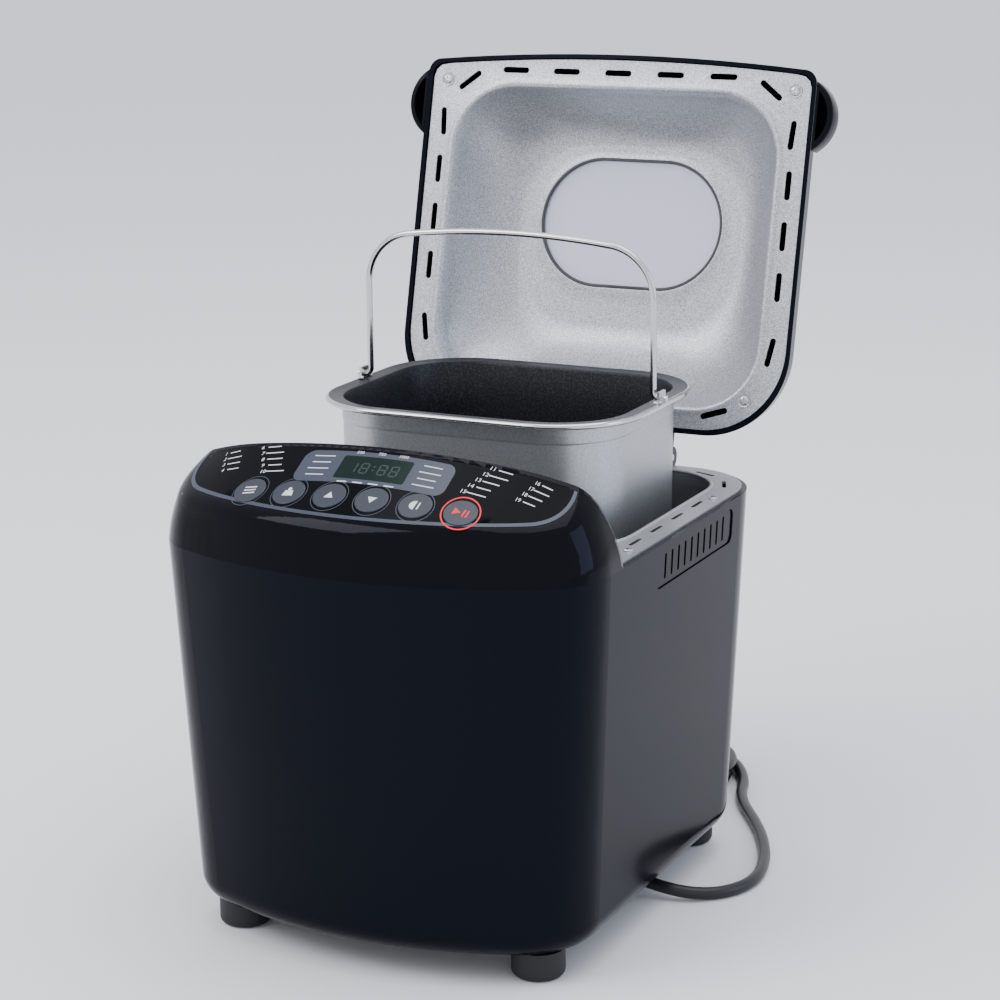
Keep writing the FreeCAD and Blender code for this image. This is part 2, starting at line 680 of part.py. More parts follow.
# ---- drive ---------------------------------------------------------------------------------
def belt_loop(offset):
    """Outline round both pulleys at a distance from their working radii."""
    gap = chamber_y - motor_y
    big, small = large_pulley + offset, small_pulley + offset
    lean = math.asin((big - small) / gap)
    c, s = math.cos(lean), math.sin(lean)
    z = pulley_z + (pulley_thick - belt_width) / 2
    right_big = V(big * c, chamber_y - big * s, z)
    left_big = V(-big * c, chamber_y - big * s, z)
    right_small = V(small * c, motor_y - small * s, z)
    left_small = V(-small * c, motor_y - small * s, z)
    edges = [Part.Arc(right_big, V(0, chamber_y + big, z), left_big).toShape(),
             Part.LineSegment(left_big, left_small).toShape(),
             Part.Arc(left_small, V(0, motor_y - small, z), right_small).toShape(),
             Part.LineSegment(right_small, right_big).toShape()]
    return Part.Face(Part.Wire(edges)).extrude(V(0, 0, belt_width))


def pulley(y, radius, bore):
    flange = 1.0
    body = rod(0, y, pulley_z, pulley_z + pulley_thick, radius)
    rims = [rod(0, y, pulley_z, pulley_z + flange, radius + 2.5),
            rod(0, y, pulley_z + pulley_thick - flange, pulley_z + pulley_thick, radius + 2.5)]
    return body.fuse(rims).cut(rod(0, y, pulley_z - 1, pulley_z + 20, bore))


def drive_parts():
    top = chassis_z + chassis_sheet
    chassis = block(-chassis_half, chassis_half, body_front + chassis_front_gap, chassis_rear,
            chassis_z, top)
    chassis = chassis.makeFillet(14.0,
            [e for e in chassis.Edges if abs(e.BoundBox.ZLength - chassis_sheet) < 1e-6])
    chassis = chassis.common(body_hull(chassis_z - 1, top + 1, wall + part_gap))
    chassis = chassis.cut(rod(0, chamber_y, chassis_z - 1, top + 1, shaft_radius + 2))
    chassis = chassis.cut(rod(0, motor_y, chassis_z - 1, top + 1, 7.0))
    for x in (-75.0, 75.0):
        for y in (chamber_y - 63.0, chamber_y + 62.0):
            chassis = chassis.fuse(rod(x, y, top, chamber_floor, 5.0))
    bore = shaft_radius + shaft_gap
    bearing = tube(0, chamber_y, top, chamber_floor + 2.0, bearing_radius, bore)
    bearing = bearing.fuse(tube(0, chamber_y, top, top + 3, bearing_radius + 8, bore))
    drive_low = pulley_z - 2
    drive_top = pan_seat_z - 11.5
    shaft = rod(0, chamber_y, drive_low, drive_top, shaft_radius)
    wings_top = drive_top + coupling_height + 0.5
    dog = rod(0, chamber_y, drive_top, wings_top, coupling_hub)
    dog = dog.fuse(block(-coupling_radius, coupling_radius, chamber_y - coupling_width / 2,
                         chamber_y + coupling_width / 2, drive_top, wings_top))
    large = pulley(chamber_y, large_pulley, shaft_radius)
    for i in range(5):
        a = math.radians(72 * i)
        large = large.cut(rod(24 * math.cos(a), chamber_y + 24 * math.sin(a), pulley_z - 1,
                pulley_z + 20, 8.0))
    small = pulley(motor_y, small_pulley, 3.0)
    belt = belt_loop(belt_gap + belt_thick).cut(belt_loop(belt_gap))
    motor_low = top + 4
    spindle = rod(0, motor_y, pulley_z - 2, motor_low + motor_length - 6, 3.0)
    can = rod(0, motor_y, motor_low, motor_low + motor_length, motor_radius)
    can = can.makeFillet(4.0, edges_at(can, motor_low + motor_length))
    can = can.cut(rod(0, motor_y, motor_low - 1, motor_low + motor_length - 5, 3.0 + shaft_gap))
    mounts = []
    for turn in (45, 135, 225, 315):
        a = math.radians(turn)
        mounts.append(rod(27 * math.cos(a), motor_y + 27 * math.sin(a), top, motor_low, 4.5))
    capacitor = rod(62, motor_y + 8.0, top, top + 48, 15.0)
    capacitor = capacitor.makeFillet(2.0, edges_at(capacitor, top + 48))
    y = body_front + board_standoff
    board = block(-78, -42, y, y + 2, top, top + 80)
    bits = [block(-74, -60, y + 2, y + 16, top + 10, top + 30), block(-58, -46, y + 2, y + 14,
            top + 40, top + 60),
            block(-74, -64, y + 2, y + 10, top + 45, top + 70)]
    return {"chassis_plate": chassis, "bearing_block": bearing, "drive_shaft": shaft,
            "drive_coupling": dog,
            "large_pulley": large, "motor_pulley": small, "drive_belt": belt, "motor_shaft": spindle,
            "motor_body": can, "motor_mounts": Part.makeCompound(mounts), "motor_capacitor": capacitor,
            "power_board": board.fuse(bits)}


# ---- pan -----------------------------------------------------------------------------------
def pan_parts():
    """Everything that lifts out, built where it sits when the pan is seated."""
    floor_z = pan_seat_z
    rim_z = floor_z + pan_height

    def pan_wire(z, inset):
        share = (rim_z - z) / pan_height
        taper = pan_draft * share + inset
        return rounded_wire(0, chamber_y, pan_half_x - taper, pan_half_y - taper, pan_corner - taper, z)

    outer = Part.makeLoft([pan_wire(floor_z, 0), pan_wire(rim_z, 0)], True, True)
    outer = outer.makeFillet(8.0, edges_at(outer, floor_z))
    rim = rounded_prism(0, chamber_y, pan_half_x + rim_width, pan_half_y + rim_width,
            pan_corner + rim_width,
                        rim_z - rim_lip, rim_z)
    rim = rim.makeFillet(1.2, edges_at(rim, rim_z))
    rim = rim.cut(rounded_prism(0, chamber_y, pan_half_x + rim_width - rim_sheet,
                                pan_half_y + rim_width - rim_sheet, pan_corner + rim_width - rim_sheet,
                                rim_z - rim_lip, rim_z - rim_sheet))
    inner = Part.makeLoft([pan_wire(floor_z + pan_floor, pan_wall), pan_wire(rim_z, pan_wall)],
            True, True)
    inner = inner.makeFillet(7.0, edges_at(inner, floor_z + pan_floor))
    mouth = Part.Face(pan_wire(rim_z, pan_wall)).extrude(V(0, 0, 10))
    mouth.translate(V(0, 0, -5))
    body = outer.fuse(rim).cut(inner.fuse(mouth))
    body = body.cut(rod(0, chamber_y, floor_z - 1, floor_z + 10, seal_radius))

    ring = tube(0, chamber_y, floor_z - base_ring_height, floor_z, base_ring_radius,
                base_ring_radius - base_ring_wall)
    seal = tube(0, chamber_y, floor_z - 1.0, floor_z + 9.0, seal_radius, shaft_radius + shaft_gap)
    plate_low = floor_z - 3.5
    shaft = rod(0, chamber_y, plate_low, floor_z + 38.0, shaft_radius)
    plate = tube(0, chamber_y, plate_low, plate_low + 2.0, coupling_radius + 1, shaft_radius)
    lug_low = plate_low - coupling_height - 0.5 + coupling_clearance
    for s in (-1, 1):
        y0, y1 = sorted((chamber_y + s * 12.0, chamber_y + s * coupling_radius))
        plate = plate.fuse(block(-coupling_width / 2, coupling_width / 2, y0, y1, lug_low, plate_low))
    hub_z = floor_z + 12.0
    hub = rod(0, chamber_y, hub_z, hub_z + paddle_height, paddle_hub)
    blade_outline = [V(0, chamber_y - paddle_thick / 2, hub_z), V(paddle_reach,
            chamber_y - paddle_thick / 2, hub_z),
                     V(paddle_reach, chamber_y - paddle_thick / 2, hub_z + 12),
                     V(14, chamber_y - paddle_thick / 2, hub_z + paddle_height + 12),
                     V(0, chamber_y - paddle_thick / 2, hub_z + paddle_height)]
    blade = Part.Face(Part.makePolygon(blade_outline + blade_outline[:1])).extrude(V(0, paddle_thick, 0))
    blade = blade.makeFillet(2.0, [e for e in blade.Edges if e.BoundBox.XMin > paddle_reach - 1e-3
                                   and e.BoundBox.YLength < 1e-6])
    paddle = hub.fuse(blade).cut(rod(0, chamber_y, hub_z - 1, hub_z + 60, shaft_radius + shaft_gap))

    pivot_z = rim_z + bail_pivot_up
    tilt = math.radians(bail_tilt)
    arc_x = bail_leg_x - bail_corner
    arc_z = pivot_z + bail_height - bail_corner * math.cos(tilt)
    arc_z -= (arc_x + bail_corner * math.sin(tilt)) * math.tan(tilt / 2)
    top_end = (arc_x + bail_corner * math.sin(tilt), arc_z + bail_corner * math.cos(tilt))
    half_turn = math.radians(45 + bail_tilt / 2)
    corner_mid = (arc_x + bail_corner * math.sin(half_turn), arc_z + bail_corner * math.cos(half_turn))
    k = bail_bend * (1 - math.sqrt(0.5))
    tip_x = bail_leg_x + bail_bend + 4.5

    def at(p, sign=1):
        return V(sign * p[0], chamber_y, p[1])

    half = [((tip_x, pivot_z), (bail_leg_x + bail_bend, pivot_z)),
            ((bail_leg_x + bail_bend, pivot_z), (bail_leg_x + k, pivot_z + k), (bail_leg_x,
                    pivot_z + bail_bend)),
            ((bail_leg_x, pivot_z + bail_bend), (bail_leg_x, arc_z)),
            ((bail_leg_x, arc_z), corner_mid, top_end)]
    edges = []
    for sign, rows in ((1, half), (-1, [tuple(reversed(r)) for r in reversed(half)])):
        side = []
        for row in rows:
            pts = [at(p, sign) for p in row]
            curve = Part.LineSegment(*pts) if len(pts) == 2 else Part.Arc(*pts)
            side.append(curve.toShape())
        if sign == 1:
            edges += side
            crown = V(0, chamber_y, pivot_z + bail_height)
            edges.append(Part.Arc(at(top_end), crown, at(top_end, -1)).toShape())
        else:
            edges += side
    bail = swept_round(Part.Wire(edges), bail_wire)
    brackets = []
    for s in (-1, 1):
        x0 = bail_leg_x + bail_bend + 0.4
        plate_x = sorted((s * x0, s * (x0 + bracket_sheet)))
        foot_x = sorted((s * x0, s * (pan_half_x + rim_width - 1.5)))
        upright = block(plate_x[0], plate_x[1], chamber_y - 4.5, chamber_y + 4.5, rim_z, pivot_z + 4.0)
        foot = block(foot_x[0], foot_x[1], chamber_y - 7, chamber_y + 7, rim_z, rim_z + 0.5)
        hole = Part.makeCylinder(bail_wire + bail_hole_gap, 12, V(s * (x0 - 4), chamber_y, pivot_z),
                V(s, 0, 0))
        brackets.append(upright.fuse(foot).cut(hole))
    parts = {"pan_body": body, "pan_base_ring": ring, "pan_seal": seal, "pan_shaft": shaft,
             "pan_coupling": plate, "kneading_paddle": paddle, "bail_handle": bail,
             "bail_brackets": Part.makeCompound(brackets)}
    for shape in parts.values():
        shape.translate(V(0, pan_back, pan_lift))
    return parts


# ---- lid -----------------------------------------------------------------------------------
def lid_front():
    return fascia_rear - rear_sag() + lid_front_gap


def lid_wire(z, side, front, rear, grow_radius=0.0):
    return bowed_wire(lid_half - side, lid_front() + front, lid_rear - rear, rear_line_bow - front,
                      lid_front_corner + grow_radius, lid_rear_corner - rear * 0.4, z)


def below_lid_top(lower):
    return below_crowned_slope(lower, lid_crest, lid_front(), -lid_fall, lid_crown)


def lid_hull(inset, z0, lower, radius):
    wires = [lid_wire(z0, inset, inset, inset), lid_wire(lid_plane + 9.0, 1.5 + inset, 1.0 + inset,
            2.0 + inset, 1),
             lid_wire(lid_plane + 77.0, 36.0 + inset, 16.0 + inset, 44.0 + inset, 10)]
    shape = Part.makeLoft(wires, True, True).common(below_lid_top(lower))
    top = [e for e in shape.Edges if e.BoundBox.ZMin > lid_plane + 22]
    return shape.makeFillet(radius, top)


def dome_solid(grow):
    """The pressed recess: a soft-cornered dome, moved outwards by grow."""
    front, rear = fascia_rear + 15.5, lid_rear - 15.0
    stations = ((-0.01, dome_half, front, rear, 40.0), (10.0, dome_half - 4.5, front + 5, rear - 6, 42.0),
                (29.0, dome_half - 15, front + 14, rear - 20, 46.0),
                (dome_depth, window_half_x + window_margin, front + 29, rear - 50, 42.0))
    wires = []
    for rise, half, y0, y1, corner in stations:
        lift = grow if rise > 0 else 0.0
        wires.append(rounded_wire(0, (y0 + y1) / 2, half + grow, (y1 - y0) / 2 + grow, corner + grow,
                                  lid_plane + rise + lift))
    return Part.makeLoft(wires, True, False)


def lid_slot_places():
    """(x, y, turn, length) of the slots in the inner plate, in the closed position."""
    y_of = lid_rear - 91.1
    places = []
    for s in (-1, 1):
        for v in (58.6, 28.8, -1.0):
            places.append((s * 114.0, y_of - v, 90.0))
        places.append((s * 113.5, y_of - 88.0, 90.0 + s * 4))
        places.append((s * 113.0, y_of + 39.3, 90.0 + s * 10))
        places.append((s * 98.0, y_of - 113.8, s * 38.0))
        places.append((s * 81.8, y_of + 77.6, s * -18.0))
    for i in range(-2, 3):
        places.append((33.8 * i, y_of - 120.9, 0.0))
    for i in (-1, 0, 1):
        places.append((33.8 * i, y_of + 83.0, 0.0))
    return places


lid_screws_at = [(-113.1, fascia_rear + 13.5), (113.1, fascia_rear + 13.5),
                 (-100.0, lid_rear - 22.6), (100.0, lid_rear - 22.6)]


def lid_parts():
    """Everything on the lid, built closed and then swung open."""
    rim_z = lid_plane - lid_rim_drop
    shell = lid_hull(0.0, rim_z, 0.0, lid_round)
    shell = shell.cut(lid_hull(lid_wall, rim_z - 0.01, lid_wall, lid_round - lid_wall))
    bore = gasket_wall + gasket_gap
    opening = obround(0, window_y, window_half_x + bore, window_half_y + bore, lid_plane + 27,
            lid_plane + 77)
    shell = shell.cut(opening)
    pins, brackets = [], []
    for s in (-1, 1):
        x0, x1 = s * hinge_offset - knuckle_half, s * hinge_offset + knuckle_half
        arm = block(x0, x1, lid_rear - 4.0, hinge_y, rim_z, rim_z + 8.0)
        knuckle = Part.makeCylinder(knuckle_radius, x1 - x0, V(x0, hinge_y, hinge_z), V(1, 0, 0))
        bore = Part.makeCylinder(pin_radius + pin_gap, x1 - x0 + 2, V(x0 - 1, hinge_y, hinge_z),
                V(1, 0, 0))
        inside = lid_hull(lid_wall, rim_z - 0.01, lid_wall, lid_round - lid_wall)
        shell = shell.fuse(arm.cut(inside)).fuse(knuckle).cut(bore)
        pin_x0 = x0 - cheek_gap - cheek_thick
        pin_x1 = x1 + cheek_gap + cheek_thick
        pins.append(Part.makeCylinder(pin_radius, pin_x1 - pin_x0, V(pin_x0, hinge_y, hinge_z), V(1,
                0, 0)))
        base_low, base_high = seam_z - 20.5, seam_z - 0.5
        base = block(pin_x0, pin_x1, body_rear, body_rear + 2.0, base_low, base_high)
        for c0 in (pin_x0, pin_x1 - cheek_thick):
            c1 = c0 + cheek_thick
            ear = Part.makeCylinder(6.5, cheek_thick, V(c0, hinge_y, hinge_z), V(1, 0, 0))
            web = block(c0, c1, body_rear, hinge_y, hinge_z - 14, hinge_z + 2)
            base = base.fuse(web).fuse(ear)
            base = base.cut(Part.makeCylinder(pin_radius, 60, V(c0 - 30, hinge_y, hinge_z), V(1, 0, 0)))
        brackets.append(base)

    plate = Part.Face(lid_wire(lid_plane, plate_inset, plate_inset, plate_inset)).extrude(V(0, 0,
            plate_sheet))
    dome = dome_solid(plate_sheet)
    hollow = dome_solid(0.0)
    plate = plate.fuse(dome).cut(hollow)
    plate = plate.cut(obround(0, window_y, window_half_x, window_half_y, lid_plane + 27, lid_plane + 77))
    for x, y, turn in lid_slot_places():
        plate = plate.cut(obround(x, y, 7.5, 1.1, lid_plane - 1, lid_plane + 3, turn))
    screws = []
    for x, y in lid_screws_at:
        plate = plate.cut(rod(x, y, lid_plane - 1, lid_plane + 3, screw_hole))
        screws.append(rod(x, y, lid_plane - 1.1, lid_plane, screw_head).fuse(
            rod(x, y, lid_plane, lid_plane + 6, screw_shank)))
    dome_top = lid_plane + dome_depth + plate_sheet
    gasket_top = dome_top + 6.5
    gasket = obround(0, window_y, window_half_x + gasket_wall, window_half_y + gasket_wall,
            dome_top, gasket_top)
    gasket = gasket.cut(obround(0, window_y, window_half_x, window_half_y, dome_top - 1, gasket_top + 1))
    glass_x, glass_y = window_half_x - 0.2, window_half_y - 0.2
    inner_glass = obround(0, window_y, glass_x, glass_y, dome_top + 0.4, dome_top + 0.4 + glass_thick)
    outer_glass = obround(0, window_y, glass_x, glass_y, gasket_top - glass_thick, gasket_top)
    outside = lid_half
    grips = []
    radius = (grip_half ** 2 + grip_reach ** 2) / (2 * grip_reach)
    ear = rod(outside + grip_reach - radius, grip_y, rim_z, rim_z + grip_thick, radius)
    ear = ear.common(block(outside + 0.2, outside + 40, grip_y - 40, grip_y + 40, 0, 400))
    hollow = rod(outside + grip_reach - radius, grip_y, rim_z - 1, rim_z + grip_thick - 3, radius - 3)
    ear = ear.cut(hollow.common(block(outside + 3, outside + 40, grip_y - 16, grip_y + 16, 0, 400)))
    parts = {"lid_shell": shell, "lid_plate": plate, "window_gasket": gasket, "window_inner": inner_glass,
             "window_outer": outer_glass, "lid_screws": Part.makeCompound(screws),
             "lid_grips": Part.makeCompound(both_sides(ear))}
    for shape in parts.values():
        shape.rotate(V(0, hinge_y, hinge_z), V(1, 0, 0), -lid_open_angle)
    parts["hinge_pins"] = Part.makeCompound(pins)
    parts["hinge_brackets"] = Part.makeCompound(brackets)
    return parts


# ---- mains lead ----------------------------------------------------------------------------
def cord_parts():
    x, y, z = relief_start
    cone = Part.makeCone(relief_wide, relief_narrow, relief_length, V(x, y, z), V(1, 0, 0))
    boss = block(x - 14, x, y - 8, y + 8, z - 7, ground_gap)
    relief = cone.fuse(boss)
    path, radii = path_wire(cord_points)
    cord = swept_round(path, cord_radius)
    print("cord bend radii", [round(r, 1) for r in radii], "tube length", round(path.Length, 1),
          "volume ratio", round(cord.Volume / (math.pi * cord_radius ** 2 * path.Length), 4))
    cx, cy = coil_centre
    coil = tube(cx, cy, coil_bottom, coil_top, coil_outer, coil_inner)
    mid = (coil_inner + coil_outer) / 2
    half = (coil_outer - coil_inner) / 2
    gap = 0.15
    tie = block(cx - tie_width / 2, cx + tie_width / 2, cy + mid - half - gap - tie_band - 1,
                cy + mid + half + gap + tie_band, coil_bottom - gap - tie_band + 0.05,
                coil_top + gap + tie_band)
    tie = tie.cut(block(cx - 20, cx + 20, cy + mid - half - gap - 1, cy + mid + half + gap,
                        coil_bottom - gap, coil_top + gap))
    px = cx - coil_outer - plug_radius - plug_gap
    entry_y = cy + 16.0
    plug = Part.makeCylinder(plug_radius, plug_length, V(px, entry_y, plug_radius), V(0, -1, 0))
    plug = plug.makeFillet(3.0, plug.Edges[0:1])
    for dx, dz in ((-pin_spread, 0), (0, pin_rise), (pin_spread, 0)):
        foot_of_pin = V(px + dx, entry_y - plug_length, plug_radius + dz)
        plug = plug.fuse(Part.makeCylinder(2.0, 19, foot_of_pin, V(0, -1, 0)))
    return {"strain_relief": relief, "power_cord": cord, "cord_coil": coil, "cord_tie": tie,
            "mains_plug": plug}


def main():
    os.makedirs("parts", exist_ok=True)
    parts = {}
    for build in (housing_parts, chamber_parts, drive_parts, control_parts, pan_parts, lid_parts,
            cord_parts):
        made = build()
        print(build.__name__, len(made))
        parts.update(made)
    for name, shape in parts.items():
        solids = shape.Solids
        if not solids or not shape.isValid():
            print("check", name, len(solids), shape.isValid())
        shape.exportStep("parts/" + name + ".step")
    print("nodes", len(parts))


main()
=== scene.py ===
import bpy
import bmesh
import json
import math
from mathutils import Matrix, Vector


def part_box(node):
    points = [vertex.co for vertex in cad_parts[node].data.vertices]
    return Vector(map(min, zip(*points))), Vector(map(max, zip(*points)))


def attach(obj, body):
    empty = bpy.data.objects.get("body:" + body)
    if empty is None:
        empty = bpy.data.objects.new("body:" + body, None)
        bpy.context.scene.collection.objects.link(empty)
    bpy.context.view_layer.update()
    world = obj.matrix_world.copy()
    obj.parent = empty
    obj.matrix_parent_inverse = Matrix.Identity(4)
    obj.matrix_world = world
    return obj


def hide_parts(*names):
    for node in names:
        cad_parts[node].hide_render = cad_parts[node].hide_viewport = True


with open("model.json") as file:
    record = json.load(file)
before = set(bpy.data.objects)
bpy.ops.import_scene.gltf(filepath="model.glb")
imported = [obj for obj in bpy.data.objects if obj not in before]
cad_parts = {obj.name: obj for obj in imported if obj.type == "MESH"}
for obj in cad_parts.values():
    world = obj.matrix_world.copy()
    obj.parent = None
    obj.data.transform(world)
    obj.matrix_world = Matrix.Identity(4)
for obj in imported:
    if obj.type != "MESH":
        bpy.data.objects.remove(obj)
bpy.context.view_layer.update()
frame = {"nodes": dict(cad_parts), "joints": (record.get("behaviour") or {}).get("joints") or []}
nodes = frame["nodes"]
print("frame loaded:", len(nodes), "nodes")

# camera first, then the lead, because its free length has to fit what the camera sees
view = {"azimuth": 25.50, "elevation": 13.98, "roll": -0.56, "distance": 1.5922,
        "target": (-0.0148, 0.0194, 0.2059), "lens": 99.03}


def makeCamera(size):
    around, up = math.radians(size["azimuth"]), math.radians(size["elevation"])
    back = Vector((math.sin(around) * math.cos(up), -math.cos(around) * math.cos(up), math.sin(up)))
    camera = bpy.data.objects.new("camera", bpy.data.cameras.new("camera"))
    camera.data.lens = size["lens"]
    camera.data.sensor_width = 36.0
    camera.data.clip_start = 0.01
    tilt = Matrix.Rotation(math.radians(size["roll"]), 4, "Z")
    look = back.to_track_quat("Z", "Y").to_matrix().to_4x4()
    camera.matrix_world = Matrix.Translation(Vector(size["target"]) + back * size["distance"]) @ look @ tilt
    bpy.context.collection.objects.link(camera)
    bpy.context.scene.camera = camera


makeCamera(view)


# materials: every number that is even over a surface sits on the shader's own socket
def newMaterial(name, colour, rough, metal=0.0, coat=0.0, coatRough=0.04, specular=0.5):
    made = bpy.data.materials.new(name)
    made.use_nodes = True
    shader = made.node_tree.nodes["Principled BSDF"]
    shader.inputs["Base Color"].default_value = (*colour, 1.0)
    shader.inputs["Roughness"].default_value = rough
    shader.inputs["Metallic"].default_value = metal
    shader.inputs["Coat Weight"].default_value = coat
    shader.inputs["Coat Roughness"].default_value = coatRough
    shader.inputs["Specular IOR Level"].default_value = specular
    return made


def addNode(made, kind, **inputs):
    node = made.node_tree.nodes.new(kind)
    for key, value in inputs.items():
        node.inputs[key.replace("_", " ")].default_value = value
    return node


def wire(made, source, output, target, entry):
    made.node_tree.links.new(source.outputs[output], target.inputs[entry])


def noiseOf(made, scale, detail=3.0, stretch=(1.0, 1.0, 1.0), kind="ShaderNodeTexNoise"):
    place = made.node_tree.nodes.new("ShaderNodeTexCoord")
    mapping = addNode(made, "ShaderNodeMapping", Scale=stretch)
    wire(made, place, "Object", mapping, "Vector")
    if kind == "ShaderNodeTexNoise":
        noise = addNode(made, kind, Scale=scale, Detail=detail)
    else:
        noise = addNode(made, kind, Scale=scale)
    wire(made, mapping, "Vector", noise, "Vector")
    return noise


def varyRough(made, scale, low, high, stretch=(1.0, 1.0, 1.0)):
    noise = noiseOf(made, scale, 4.0, stretch)
    span = addNode(made, "ShaderNodeMapRange", From_Min=0.3, From_Max=0.7, To_Min=low, To_Max=high)
    wire(made, noise, 0, span, "Value")
    wire(made, span, "Result", made.node_tree.nodes["Principled BSDF"], "Roughness")


def varyColour(made, scale, first, second, low=0.35, high=0.65, stretch=(1.0, 1.0, 1.0), detail=3.0):
    noise = noiseOf(made, scale, detail, stretch)
    ramp = made.node_tree.nodes.new("ShaderNodeValToRGB")
    ramp.color_ramp.elements[0].position, ramp.color_ramp.elements[0].color = low, (*first, 1.0)
    ramp.color_ramp.elements[1].position, ramp.color_ramp.elements[1].color = high, (*second, 1.0)
    wire(made, noise, 0, ramp, "Fac")
    wire(made, ramp, "Color", made.node_tree.nodes["Principled BSDF"], "Base Color")


def addBump(made, scale, strength, depth, stretch=(1.0, 1.0, 1.0), detail=2.0):
    noise = noiseOf(made, scale, detail, stretch)
    bump = addNode(made, "ShaderNodeBump", Strength=strength, Distance=depth)
    wire(made, noise, 0, bump, "Height")
    wire(made, bump, "Normal", made.node_tree.nodes["Principled BSDF"], "Normal")


def glossBlack(name, colour, rough, shine):
    made = newMaterial(name, colour, rough, specular=shine)
    made.node_tree.nodes["Principled BSDF"].inputs["IOR"].default_value = 1.15
    made.node_tree.nodes["Principled BSDF"].inputs["Specular Tint"].default_value = (0.80, 0.85, 1.0, 1.0)
    varyRough(made, 14.0, rough * 0.8, rough * 1.3)
    addBump(made, 7.0, 0.02, 0.0004)
    return made


def silverPaint():
    made = newMaterial("silverPaint", (0.44, 0.45, 0.475), 0.42, metal=0.75, specular=0.4)
    varyColour(made, 1500.0, (0.33, 0.335, 0.355), (0.60, 0.61, 0.635), 0.40, 0.62, detail=1.0)
    addBump(made, 1100.0, 0.10, 0.00012)
    return made


def satinSheet():
    made = newMaterial("satinSheet", (0.46, 0.465, 0.48), 0.34, metal=0.9)
    varyRough(made, 60.0, 0.27, 0.40, (1.0, 8.0, 1.0))
    addBump(made, 900.0, 0.05, 0.0001)
    return made


def panMetal():
    made = newMaterial("panMetal", (0.44, 0.45, 0.46), 0.40, metal=0.85)
    varyColour(made, 1300.0, (0.40, 0.41, 0.42), (0.50, 0.51, 0.52), 0.38, 0.64, detail=1.0)
    addBump(made, 1500.0, 0.12, 0.00010)
    return made


def nonStick():
    made = newMaterial("nonStick", (0.016, 0.017, 0.020), 0.34, specular=0.5)
    made.node_tree.nodes["Principled BSDF"].inputs["IOR"].default_value = 1.25
    varyColour(made, 900.0, (0.011, 0.012, 0.014), (0.030, 0.032, 0.037), 0.45, 0.70, detail=1.0)
    addBump(made, 1200.0, 0.12, 0.0001)
    return made


def brightSteel(name, colour, rough, stretch=(1.0, 1.0, 1.0)):
    made = newMaterial(name, colour, rough, metal=1.0)
    varyRough(made, 220.0, rough * 0.75, rough * 1.4, stretch)
    return made


def heatSteel():
    made = newMaterial("heatSteel", (0.20, 0.18, 0.16), 0.42, metal=0.85)
    varyColour(made, 35.0, (0.11, 0.10, 0.095), (0.27, 0.235, 0.20))
    addBump(made, 500.0, 0.10, 0.0001)
    return made


def grainPlastic(name, colour, rough, grain=1400.0, strength=0.12):
    made = newMaterial(name, colour, rough, specular=0.4)
    varyRough(made, 40.0, rough * 0.9, rough * 1.12)
    addBump(made, grain, strength, 0.0001)
    return made


def windowGlass():
    made = newMaterial("windowGlass", (0.80, 0.82, 0.93), 0.04, specular=0.5)
    shader = made.node_tree.nodes["Principled BSDF"]
    shader.inputs["Alpha"].default_value = 0.42
    varyRough(made, 6.0, 0.03, 0.07)
    return made


def boardGreen():
    made = newMaterial("boardGreen", (0.012, 0.09, 0.04), 0.4)
    varyColour(made, 260.0, (0.010, 0.075, 0.032), (0.020, 0.125, 0.055), 0.48, 0.52, (1.0, 1.0, 4.0))
    return made


housingBlack = glossBlack("housingBlack", (0.0030, 0.0038, 0.0066), 0.13, 0.5)
fasciaBlack = glossBlack("fasciaBlack", (0.0010, 0.0012, 0.0020), 0.06, 0.9)
filmBlack = glossBlack("filmBlack", (0.0010, 0.0012, 0.0020), 0.10, 0.4)
silver = silverPaint()
sheetMetal = satinSheet()
panGrey = panMetal()
coating = nonStick()
chrome = brightSteel("chromeWire", (0.62, 0.61, 0.61), 0.12)
zinc = brightSteel("zincSteel", (0.58, 0.58, 0.60), 0.28, (1.0, 1.0, 6.0))
heated = heatSteel()
blackPlastic = grainPlastic("blackPlastic", (0.012, 0.0125, 0.0135), 0.42)
gripBlack = glossBlack("gripBlack", (0.0020, 0.0024, 0.0034), 0.14, 0.9)
footRubber = grainPlastic("footRubber", (0.009, 0.009, 0.010), 0.55)
beltRubber = grainPlastic("beltRubber", (0.015, 0.015, 0.015), 0.7)
sealGrey = grainPlastic("sealGrey", (0.055, 0.056, 0.06), 0.5)
leadBlack = grainPlastic("leadBlack", (0.010, 0.010, 0.011), 0.36, 700.0, 0.06)
buttonGrey = grainPlastic("buttonGrey", (0.018, 0.022, 0.036), 0.34, 1800.0, 0.05)
printGrey = grainPlastic("printGrey", (0.030, 0.038, 0.062), 0.30, 1800.0, 0.03)
printWhite = grainPlastic("printWhite", (0.62, 0.64, 0.68), 0.5, 1800.0, 0.03)
printRed = grainPlastic("printRed", (0.72, 0.010, 0.014), 0.35, 1800.0, 0.03)
displayDark = glossBlack("displayDark", (0.006, 0.015, 0.012), 0.16, 0.6)
displayGhost = grainPlastic("displayGhost", (0.016, 0.030, 0.026), 0.35, 1800.0, 0.03)
glass = windowGlass()
laminate = boardGreen()

